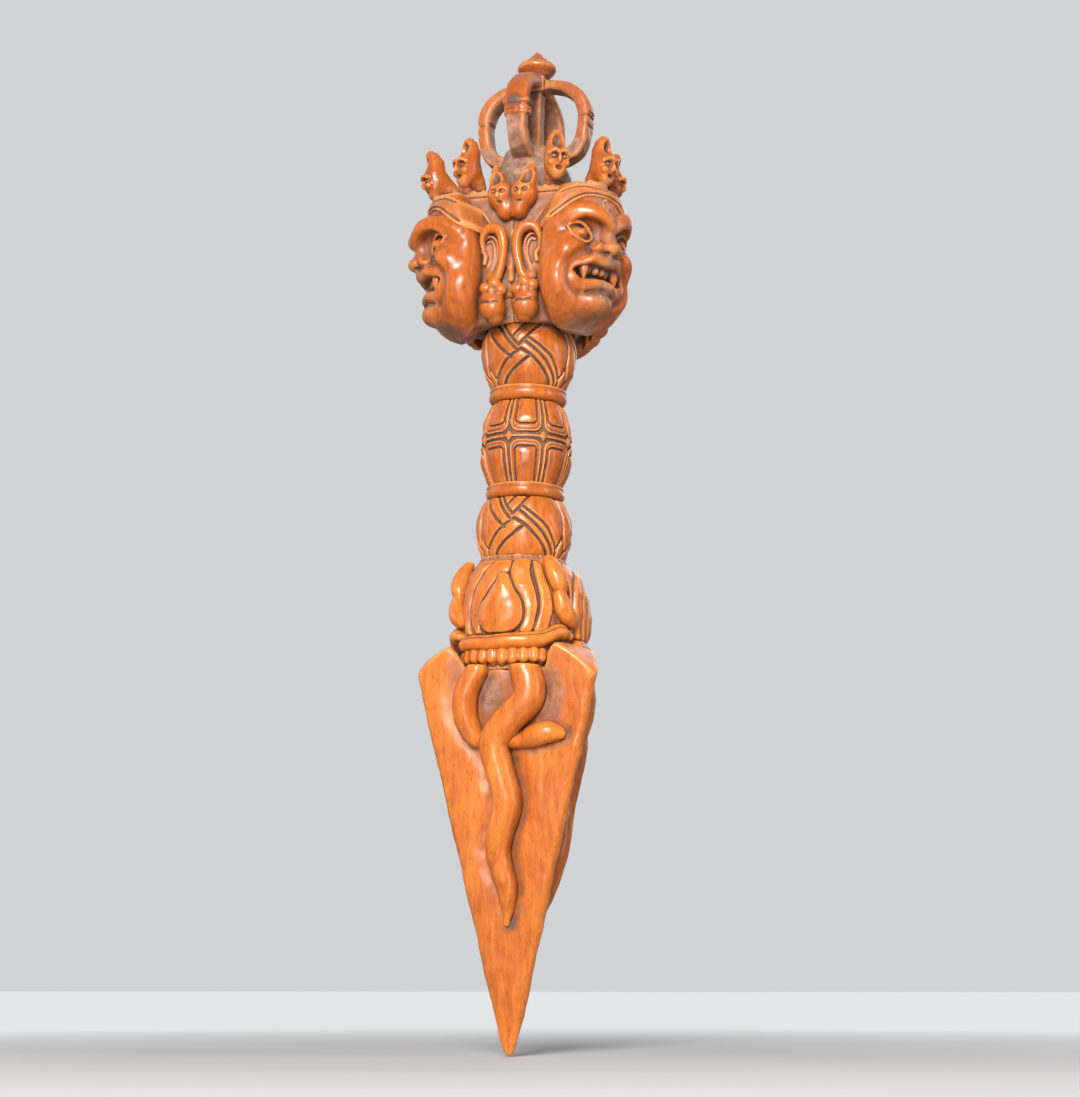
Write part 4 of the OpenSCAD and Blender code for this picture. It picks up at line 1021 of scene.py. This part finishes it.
def make_prong(drop, beads):
    """A prong towards -Y, with beads or with cuts across its back; drop is how much lower its top is."""
    c = Clay((-3.6, -15.6, 217.4), (3.6, -2.4, 242.8), 0.2)
    outer = spline([(r, z - drop * part) for (r, z), part in zip(PRONG_OUT, DROP_OUT)], 5)
    inner = spline([(r, z - drop * part) for (r, z), part in zip(PRONG_IN, DROP_IN)], 5)
    side = np.concatenate([outer, inner[::-1]])

    def body(x, y, z):
        r, z2 = np.broadcast_arrays(-y[0], z[0])
        half = table(z, (217, 2.9), (221, 2.5), (224.5, 2.35), (228, 2.7), (233, 2.95), (238, 2.9),
                     (241, 2.5))
        crown = 0.35 * np.clip(1 - (x / 3.0) ** 2, 0, 1) * (z > 231.5)
        return corner(inside_loop(side, r, z2)[None] - crown + 0.1, np.abs(x) - half, 0.9)

    c.field(body)
    if beads:
        for z, r in ((228.1, 0.45), (229.2, 0.5), (230.9, 0.95)):
            for _ in c.sides():
                c.tube([(0, -14.75, z), (1.5, -14.7, z), (2.6, -14.2, z), (2.95, -13.2, z), (2.95, -12.2, z)],
                       r, 0.45)
    else:
        for z in (227.9, 230.4):
            c.tube([(-3, -12.6, z), (-2.75, -14.8, z), (2.75, -14.8, z), (3, -12.6, z)], 0.28, 0.35, True)
    # the mitre where it meets the next ones
    for s in (-1, 1):
        c.trim(lambda x, y, z: (s * x + y) * 0.7071 + 0.05)
    return c


def prong_soil(foot):
    """Dust on the sides, on the inside and up to a height on the foot of a prong."""
    def dust(x, y, z):
        inner = table(z, (217, 15), (221.5, 9.0), (224, 11.0), (227, 12.1), (231, 12.3), (234, 11.6),
                      (237, 9.0), (238.4, 6.0))
        out = np.maximum(0.3 * step(np.abs(x), 2.25, 2.65), 0.9 * step(-y, inner + 0.4, inner - 0.2))
        return np.maximum(out, step(z, foot + 1.0, foot - 1.0))
    return dust


def make_post():
    c = Clay((-3.4, -3.4, 222.2), (3.4, 3.4, 242.8), 0.18)

    def body(x, y, z):
        half = table(z, (HUB_TOP, 1.95), (225, 1.85), (236.6, 1.75), (238.2, 1.9), (238.6, 2.65),
                     (CAGE_TOP, 2.65))
        d = corner(np.abs(x) - half, np.abs(y) - half, 0.6)
        return np.maximum(d, np.maximum(HUB_TOP + 0.05 - z, z - (CAGE_TOP - 0.05)))

    c.field(body)
    return c


def make_cap():
    c = Clay((-5.8, -5.8, 242.2), (5.8, 5.8, 250.6), 0.18)

    def body(x, y, z):
        az, rr = polar(x, y)
        rr = rr + 0.06 * np.cos(np.radians(az * 3 + 50))
        return inside_loop(np.array(CAP), *np.broadcast_arrays(rr, z))

    c.field(body)
    return c


def make_skull():
    """A skull that looks out from under a hollow pointed hood; its seat is at the origin."""
    c = Clay((-4.6, -5.0, -1.9), (4.6, 5.6, 13.4), 0.16)
    c.egg((0, -0.3, 4.3), (2.95, 2.95, 3.9))
    c.egg((0, -1.4, 1.6), (1.9, 1.8, 2.2), 1.2)
    c.tube([(0, 0.3, 6.0), (0, 0.9, 8.4), (0, 0.95, 10.0), (0, 0.7, 11.1)], [2.9, 2.5, 2.05, 1.4], 0.8)
    # it grows out of the crown behind
    c.tube([(0, 1.3, 3.4), (0, 2.4, 1.4), (0, 3.2, 0.2)], [2.2, 2.1, 1.7], 1.4)
    # cheeks, brow, nose
    for _ in c.sides():
        c.egg((1.6, -2.4, 3.3), (1.05, 0.9, 0.9), 0.6)
        c.tube(spline([(0, -3.15, 5.7), (1.1, -3.2, 6.2), (2.3, -2.3, 5.5)], 3), 0.55, 0.6)
    c.egg((0, -3.35, 4.1), (0.55, 0.85, 1.15), 0.35)
    # eye holes, mouth
    for _ in c.sides():
        c.egg((1.25, -3.2, 4.85), (0.95, 1.05, 0.68), 0.4, True)
        c.egg((1.25, -2.6, 4.8), (0.45, 0.4, 0.36), 0.1)
    c.egg((0, -3.25, 1.9), (1.05, 0.9, 0.6), 0.35, True)
    # the hollow of the hood, with a rounded rim
    c.egg((0, -1.75, 9.2), (1.5, 2.0, 2.2), 0.6, True)
    c.trim(lambda x, y, z: -(z + 1.3), 1.2)
    return c


def make_twin():
    """The pair of small skulls over the ears, with hollow pointed tips; x across, z up, flat at the back."""
    c = Clay((-8.2, -20.6, 198.6), (8.2, -13.6, 214.8), 0.18)
    for _ in c.sides():
        c.egg((2.9, -15.9, 205.7), (3.45, 3.3, 3.7))
        c.egg((1.7, -15.5, 202.4), (2.5, 2.7, 2.9), 1.0)
        c.tube([(3.3, -15.6, 207.2), (4.2, -15.3, 210.2), (4.7, -15.4, 212.3), (4.8, -15.6, 213.2)],
               [2.8, 2.05, 1.15, 0.6], 0.6)
    c.tube([(0, -19.9, 209.6), (0, -19.2, 204.0), (0, -17.8, 200.2)], 0.3, 0.5, True)
    for s in c.sides():
        lean = math.radians(-12 * s)
        turn = [(math.cos(lean), 0, math.sin(lean)), (0, 1, 0), (-math.sin(lean), 0, math.cos(lean))]
        c.egg((4.15, -18.0, 209.9), (1.55, 1.8, 2.6), 0.25, True, turn)
        for dx in (-1.25, 1.15):
            eye = 2.9 + s * dx
            c.egg((eye, -18.85, 206.0), (0.8, 0.75, 0.58), 0.45, True)
            c.egg((eye, -18.5, 205.95), (0.4, 0.36, 0.32), 0.15)
        c.egg((2.9, -19.0, 204.9), (0.5, 0.6, 0.8), 0.3)
        c.egg((2.5, -18.5, 203.2), (0.85, 0.6, 0.35), 0.2, True)
    c.trim(lambda x, y, z: y + SEAT + 0.08)
    return c


# The wood, as a tree of nodes.

STAIN = ((0.30, (0.45, 0.110, 0.014)), (0.48, (0.53, 0.145, 0.020)), (0.68, (0.62, 0.195, 0.030)))
DUST = ((0.30, (0.066, 0.042, 0.030)), (0.50, (0.160, 0.108, 0.081)), (0.70, (0.310, 0.232, 0.188)))
# colours of the old wax in the hollows and of the painted shade there, from dark to pale
OLD_WAX_AND_SHADE = ((0.35, (0.040, 0.024, 0.018)), (0.60, (0.105, 0.066, 0.050)), (0.72, (0.185, 0.130, 0.105)))
PORE = (0.13, 0.035, 0.012)
GRAIN_LINE = (0.20, 0.060, 0.016)
# painted shade, partly darker stain, for low and for closed-in places
LOW_STAIN_AND_SHADE = (0.240, 0.052, 0.009)
CLOSED_IN_SHADE = (0.230, 0.052, 0.010)
# worn wood and a painted sheen on rounded-out forms
WORN_AND_SHEEN = (0.74, 0.26, 0.028)
WORN_EDGE = (0.78, 0.38, 0.15)
GRAIN_TINT = (0.70, 0.58, 0.50)
HANDLED_TINT = (0.60, 0.48, 0.42)
FINE_SPAN = 0.9                   # millimetres of fine relief that the attribute's range stands for
WIDE_SPAN = 1.8


def put(tree, socket, value):
    """Links an output to a socket, or sets the socket's own value; three numbers may be a colour."""
    if isinstance(value, bpy.types.NodeSocket):
        tree.links.new(value, socket)
    elif isinstance(value, tuple) and socket.type == "RGBA":
        socket.default_value = (*value, 1)
    else:
        socket.default_value = value


def node(tree, kind, *inputs, **named):
    """A new node: its inputs in order, then inputs or settings by name."""
    new = tree.nodes.new("ShaderNode" + kind)
    for name, value in named.items():
        if name in new.inputs:
            put(tree, new.inputs[name], value)
        else:
            setattr(new, name, value)
    for socket, value in zip(new.inputs, inputs):
        put(tree, socket, value)
    return new


def maths(tree, operation, a, b=0.0):
    return node(tree, "Math", a, b, operation=operation).outputs[0]


def fit(tree, source, a, b, c=0.0, d=1.0):
    """What runs from a to b runs from c to d, and no further."""
    return node(tree, "MapRange", source, a, b, c, d).outputs[0]


def wood(name, dark):
    """Stained and waxed boxwood; the dark one is all rough ground, full of dust."""
    material = bpy.data.materials.new(name)
    material.use_nodes = True
    tree = material.node_tree
    tree.nodes.clear()
    bsdf = node(tree, "BsdfPrincipled")
    node(tree, "OutputMaterial", bsdf.outputs[0])
    place = node(tree, "TexCoord").outputs["Object"]

    def noise(scale, stretch, detail=3.0, rough=0.55):
        spot = node(tree, "Mapping", Vector=place, Scale=(scale, scale, scale * stretch)).outputs[0]
        return node(tree, "TexNoise", Vector=spot, Scale=1.0, Detail=detail, Roughness=rough).outputs["Fac"]

    def ramp(source, stops):
        new = node(tree, "ValToRGB", source)
        new.color_ramp.elements.new(0.5)
        for element, (position, colour) in zip(new.color_ramp.elements, stops):
            element.position, element.color = position, (*colour, 1)
        return new.outputs[0]

    def mixed(share, a, b, kind="MIX"):
        new = node(tree, "Mix", data_type="RGBA", blend_type=kind)
        for socket, value in zip((new.inputs[0], new.inputs[6], new.inputs[7]), (share, a, b)):
            put(tree, socket, value)
        return new.outputs[2]

    def run(*values):
        return fit(tree, *values)

    def times(a, b):
        return maths(tree, "MULTIPLY", a, b)

    def most(a, b):
        return maths(tree, "MAXIMUM", a, b)

    def less(a, b):
        return maths(tree, "SUBTRACT", a, b)

    fine, wide, deep, soil = (node(tree, "Attribute", attribute_name=key).outputs["Fac"]
                              for key in ("fine", "wide", "deep", "soil"))
    grain = noise(900, 0.06, 4, 0.6)
    lines = noise(2600, 0.045, 2, 0.5)
    pores = noise(2300, 0.4, 2, 0.5)
    rough_ground = noise(420, 1.0, 5, 0.7)
    base = ramp(noise(90, 0.35), STAIN)
    base = mixed(times(run(pores, 0.63, 0.72), 0.6), base, PORE)
    base = mixed(run(grain, 0.36, 0.66), base, mixed(1.0, base, GRAIN_TINT, "MULTIPLY"))
    base = mixed(times(run(lines, 0.60, 0.70), 0.45), base, GRAIN_LINE)
    # dust of old lamp black and chalk, on the rough grounds
    soil = times(soil, run(noise(190, 1.0, 4), 0.30, 0.55, 0.55, 1.0))
    dust = ramp(noise(520, 1.0, 5, 0.7), DUST)
    base = mixed(1.0 if dark else times(soil, 0.92), base, mixed(0.12, dust, base))
    # painted shade, partly darker stain, where it is low and where it is closed in; lighter wood where it is
    # worn, with a painted sheen on rounded forms
    base = mixed(run(wide, 0.505, 0.42, 0.0, 0.65), base, LOW_STAIN_AND_SHADE)
    base = mixed(run(deep, 0.42, 0.66, 0.0, 0.45), base, CLOSED_IN_SHADE)
    base = mixed(run(wide, 0.54, 0.68, 0.0, 0.40), base, WORN_AND_SHEEN)
    if not dark:
        # the handle, the heads and the finial are more handled and darker than the blade
        height = node(tree, "SeparateXYZ", place).outputs[2]
        patina = most(run(height, 0.112, 0.140, 0.0, 0.70), run(height, 0.203, 0.212, 0.0, 0.85))
        base = mixed(times(patina, less(1.0, soil)), base, mixed(1.0, base, HANDLED_TINT, "MULTIPLY"))
    # old wax in the fine hollows, and painted shade in broad valleys, where it is closed in and beside the
    # snakes; pale wood on the worn edges
    # fine hollows, and on the blade the painted shadow of the snakes
    hollow = times(run(fine, 0.487, 0.425), run(rough_ground, 0.15, 0.55, 0.75, 1.0))
    shade = times(run(deep, 0.55, 0.80), run(rough_ground, 0.2, 0.6, 0.6, 1.0))
    wax_and_shade = most(most(hollow, times(run(wide, 0.475, 0.390), 0.85)), times(shade, 0.9))
    base = mixed(wax_and_shade, base, ramp(rough_ground, OLD_WAX_AND_SHADE))
    if not dark:
        edge = times(run(fine, 0.54, 0.63), run(noise(300, 1.0), 0.35, 0.65, 0.35, 1.0))
        base = mixed(times(edge, less(0.45, times(soil, 0.30))), base, WORN_EDGE)
    dull = 1.0 if dark else most(wax_and_shade, soil)
    rough = maths(tree, "ADD", run(noise(160, 0.5), 0.3, 0.7, 0.23, 0.37), times(dull, 0.34))
    relief = maths(tree, "ADD", times(lines, 0.5), times(rough_ground, times(dull, 2.4)))
    bumpy = node(tree, "Bump", Strength=0.35, Distance=0.00012, Height=relief)
    for key, value in (("Base Color", base), ("Roughness", rough), ("Specular IOR Level", 0.36),
                       ("Coat Weight", 0.05), ("Coat Roughness", 0.22), ("Normal", bumpy.outputs[0])):
        put(tree, bsdf.inputs[key], value)
    return material


# Each piece of clay becomes a mesh, with how fine and how wide its relief is, how closed in it lies
# and how dusty it is as attributes for the wood.

CLOSED_VOX = 0.8


def closed_in():
    """How closed in each place is, on a coarse grid over the whole object, and where that grid begins."""
    low, high = np.array((-36.0, -36.0, -6.0)), np.array((36.0, 36.0, 256.0))
    filled = np.zeros(((high - low) / CLOSED_VOX).astype(int) + 1, F32)
    for p in PIECES:
        c = p["clay"]
        k = max(1, int(round(0.4 / c.vox)))
        pts = np.argwhere(c.f[::k, ::k, ::k] < 0) * (c.vox * k) + c.lo
        for _, turn, offset in p["places"]:
            q = np.round((turned(pts, turn) + offset - low) / CLOSED_VOX).astype(int)
            q = q[((q >= 0) & (q < filled.shape)).all(1)]
            filled[q[:, 0], q[:, 1], q[:, 2]] = 1
    return 0.5 * blur(filled, 1.6, CLOSED_VOX) + 0.5 * blur(filled, 4.0, CLOSED_VOX), low


def make_mesh(name, verts, faces):
    """A mesh from points and from lists of faces that have three and four corners."""
    mesh = bpy.data.meshes.new(name)
    mesh.vertices.add(len(verts))
    mesh.vertices.foreach_set("co", (verts * MM).astype(F32).ravel())
    corners = np.repeat([f.shape[1] for f in faces], [len(f) for f in faces])
    loops = np.concatenate([f.ravel() for f in faces]).astype(np.int32)
    mesh.loops.add(len(loops))
    mesh.loops.foreach_set("vertex_index", loops)
    mesh.polygons.add(len(corners))
    mesh.polygons.foreach_set("loop_start", (np.cumsum(corners) - corners).astype(np.int32))
    mesh.update(calc_edges=True)
    mesh.validate()
    mesh.shade_smooth()
    return mesh


def show(p, materials, closed, low):
    """The meshes of a piece, one at each of its places."""
    for name, turn, offset in p["places"]:
        verts = turned(p["verts"], turn) + offset
        mesh = make_mesh(name, verts, (p["tris"], p["quads"]))
        normals = np.zeros(len(verts) * 3, F32)
        mesh.vertices.foreach_get("normal", normals)
        deep = sample(closed, (verts + normals.reshape(-1, 3) - low) / CLOSED_VOX)
        for key, values in (("fine", 0.5 + p["fine"] / FINE_SPAN), ("wide", 0.5 + p["wide"] / WIDE_SPAN),
                            ("deep", deep), ("soil", p["soil"])):
            held = mesh.attributes.new(key, "FLOAT", "POINT")
            held.data.foreach_set("value", np.clip(values, 0, 1).astype(F32))
        mesh.materials.append(materials[p["slot"]])
        wooden = bpy.data.objects.new("wood_" + name, mesh)
        bpy.context.scene.collection.objects.link(wooden)
        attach(wooden, "root")
        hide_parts(name)


# All the pieces, from the tip up.

CENTRE = np.zeros(3)
EDGES = 0.7                       # how worn the edges of the small carving are
SKULL_AZIMUTHS = (31, 64, 97, 147, 180, 213, -104, -71, -38)
SKULL_SEATS = (19.6, 21.8, 18.2, 19.4, 21.8, 19.2, 18.2, 23.0, 19.8)
SKULL_LEANS = (4, 8, 16, 6, 8, 6, 14, 20, 5)
SKULL_R = 3.3
SEAM = 58.6                       # azimuth beyond which a face meets the next one


def once(name, turn=0):
    return name, turn, CENTRE


def thirds(name, turn=0):
    return [once("%s_%d" % (name, k + 1), THIRDS[k] + turn) for k in range(3)]


def per_head(name):
    return [once("%s_%d" % (name, k + 1), HEADS[k]) for k in range(3)]


def low_dust(high, low):
    """Dust at the foot, fading out upward."""
    return lambda x, y, z: 0.8 * step(z, high, low)


def add_skulls():
    """The nine skulls round the crown, each leaning out on its seat."""
    base = piece(make_skull(), "boxwood", soil=low_dust(1.6, -0.4), edges=EDGES)
    PIECES.pop()
    x, y, z = base["verts"].T
    for i, (az, seat, lean) in enumerate(zip(SKULL_AZIMUTHS, SKULL_SEATS, SKULL_LEANS)):
        a = math.radians(lean)
        verts = np.stack([x, y * math.cos(a) - z * math.sin(a), y * math.sin(a) + z * math.cos(a)], 1)
        spot = at(az, seat, CROWN_TOP + SKULL_R * math.sin(a))
        PIECES.append(dict(base, verts=verts, places=[("skull_%d" % (i + 1), az, spot)]))


blade = piece(make_blade(), "boxwood", once("blade"), soil=blade_soil)
# the painted shadow of the snakes and the waxed nicks, taken as deeper fine hollows that the wood darkens
blade["fine"] -= 0.066 * snake_shadow_and_nicks(*blade["verts"].T)
piece(make_snake(LONG_SNAKE, 0.7), "boxwood", *thirds("long_snake"))
piece(make_snake(SHORT_SNAKE, 0.6), "boxwood", *thirds("short_snake"))
piece(make_block(), "boxwood", once("makara_block"), soil=0.85)
for name, make in (("lotus", make_lotus), ("scroll", make_scroll), ("lip", make_lip), ("teeth", make_teeth)):
    piece(make(), "boxwood", *thirds(name))
piece(make_knot(BLOCK_TOP, LOWER_COLLAR, 9.3, -1.5, 1.07), "boxwood", once("lower_knot"))
piece(make_collar(LOWER_COLLAR), "boxwood", once("lower_collar"))
piece(make_grip(), "boxwood", once("grip"))
piece(make_collar(GRIP_TOP), "boxwood", once("upper_collar"))
piece(make_knot(KNOT_FOOT, NECK, 8.2), "boxwood", once("upper_knot"))
piece(make_core(), "boxwood_dark", once("head_core"))
face_clay = make_face()
face = piece(face_clay, "boxwood", *per_head("face"), soil=face_soil, edges=EDGES)
near_seam = np.abs(polar(*face["verts"].T[:2])[0]) > SEAM
face["fine"][near_seam] = 0.0
face["wide"][near_seam] = 0.0
piece(make_diadem(face_clay), "boxwood", *per_head("diadem"), soil=0.35)
piece(make_ears(), "boxwood", *thirds("ears", HEAD_TURN), soil=ear_soil, edges=EDGES)
piece(make_earrings(), "boxwood", *thirds("earrings", HEAD_TURN), edges=EDGES)
piece(make_twin(), "boxwood", *thirds("twin_skull", HEAD_TURN), edges=EDGES)
piece(make_crown(), "boxwood_dark", once("crown"))
piece(make_finial_base(), "boxwood_dark", once("finial_base"))
piece(make_prong(0.0, True), "boxwood", once("prong_1", FINIAL_TURN), soil=prong_soil(227.4))
prongs = [once("prong_%d" % k, 90 * k - 90 + FINIAL_TURN) for k in (2, 3, 4)]
piece(make_prong(0.9, False), "boxwood", *prongs, soil=prong_soil(224.6))
piece(make_post(), "boxwood", once("finial_post", FINIAL_TURN), soil=0.9, edges=0.5)
piece(make_cap(), "boxwood", once("finial_cap"), soil=low_dust(244.0, 243.0))
add_skulls()

materials = {"boxwood": wood("boxwood", False), "boxwood_dark": wood("boxwood_dark", True)}
closed, closed_low = closed_in()
for p in PIECES:
    show(p, materials, closed, closed_low)


# Floor and backdrop. The world is brighter where it is only seen than where it lights the wood.

FLOOR_HALF = 6.0                  # half a side of the floor, in metres
FLOOR_TILT = -1.6                 # how far the ground in the photograph is from level, in degrees

corners = [(x * FLOOR_HALF, y * FLOOR_HALF, 0) for x, y in ((-1, -1), (1, -1), (1, 1), (-1, 1))]
floor_mesh = bpy.data.meshes.new("floor")
floor_mesh.from_pydata(corners, [], [(0, 1, 2, 3)])
floor = bpy.data.objects.new("floor", floor_mesh)
studio_floor = bpy.data.materials.new("studio_floor")
studio_floor.use_nodes = True
tree = studio_floor.node_tree
paper = tree.nodes["Principled BSDF"]
for key, value in (("Base Color", (0.52, 0.52, 0.53)), ("Roughness", 0.8), ("Specular IOR Level", 0.05)):
    put(tree, paper.inputs[key], value)
# far from the object the floor has one colour for the camera, and near it keeps the shadow
spot = node(tree, "TexCoord").outputs["Object"]
away = node(tree, "VectorMath", spot, operation="LENGTH").outputs["Value"]
seen = node(tree, "LightPath").outputs["Is Camera Ray"]
far_seen = maths(tree, "MULTIPLY", fit(tree, away, 0.08, 0.36), seen)
even = node(tree, "Emission", Color=(0.78, 0.79, 0.80), Strength=1.0)
floor_mix = node(tree, "MixShader", far_seen, paper.outputs[0], even.outputs[0])
put(tree, tree.nodes["Material Output"].inputs[0], floor_mix.outputs[0])
floor_mesh.materials.append(studio_floor)
floor.rotation_euler = (0, math.radians(FLOOR_TILT), 0)
bpy.context.scene.collection.objects.link(floor)

world = bpy.data.worlds.new("studio")
bpy.context.scene.world = world
world.use_nodes = True
tree = world.node_tree
studio = tree.nodes["Background"]
put(tree, studio.inputs[0], (0.90, 0.92, 0.95))
put(tree, studio.inputs[1], 0.10)
backdrop = node(tree, "Background", Color=(0.64, 0.65, 0.66), Strength=1.0)
rays = node(tree, "LightPath").outputs
seen = maths(tree, "ADD", rays["Is Camera Ray"], rays["Is Glossy Ray"])
seen = maths(tree, "ADD", seen, rays["Is Transmission Ray"])
world_mix = node(tree, "MixShader", seen, studio.outputs[0], backdrop.outputs[0])
put(tree, tree.nodes["World Output"].inputs[0], world_mix.outputs[0])


# Lamps: place, size, watts, colour and what they look at.

def lamp(name, place, size, watts, colour, look):
    light = bpy.data.lights.new(name, "AREA")
    light.shape = "RECTANGLE"
    light.size, light.size_y = size
    light.energy = watts
    light.color = colour
    holder = bpy.data.objects.new(name, light)
    holder.location = place
    holder.rotation_euler = (Vector(look) - Vector(place)).to_track_quat("-Z", "Y").to_euler()
    bpy.context.scene.collection.objects.link(holder)


lamp("key", (0.08, -0.74, 0.38), (0.24, 0.24), 10.6, (1.0, 0.97, 0.93), (0, 0, 0.14))
lamp("low", (0.10, -0.78, 0.07), (0.24, 0.12), 1.7, (1.0, 0.98, 0.95), (0, 0, 0.08))
lamp("left", (-0.75, -0.10, 0.40), (0.5, 0.6), 1.0, (1.0, 0.98, 0.96), (0, 0, 0.12))
lamp("right", (0.75, -0.12, 0.26), (0.14, 0.5), 1.7, (1.0, 0.99, 0.97), (0, 0, 0.12))
lamp("back", (0.1, 0.9, 0.7), (0.9, 0.7), 3.0, (1.0, 1.0, 1.0), (0, 0, 0.12))


# The camera of the photograph, solved from the tip, the top and the outlines of the blade.

EYE = (140.575, -490.243, 20.0)   # in millimetres
PITCH, YAW, ROLL = 11.179, -0.447, 1.566  # in degrees; yaw is its turn away from the axis

camera = bpy.data.objects.new("camera", bpy.data.cameras.new("camera"))
camera.data.lens = 70.0
camera.data.sensor_width = 36.0
camera.data.clip_start = 0.02
heading = math.atan2(EYE[1], EYE[0]) + math.pi + math.radians(YAW)
level = math.cos(math.radians(PITCH))
forward = Vector((math.cos(heading) * level, math.sin(heading) * level, math.sin(math.radians(PITCH))))
right = forward.cross(Vector((0, 0, 1))).normalized()
above = right.cross(forward)
roll = math.radians(ROLL)
across = right * math.cos(roll) + above * math.sin(roll)
upward = above * math.cos(roll) - right * math.sin(roll)
matrix = Matrix((across, upward, -forward)).transposed().to_4x4()
matrix.translation = Vector(EYE) * MM
camera.matrix_world = matrix
bpy.context.scene.collection.objects.link(camera)
bpy.context.scene.camera = camera
bpy.context.scene.view_settings.view_transform = "Standard"
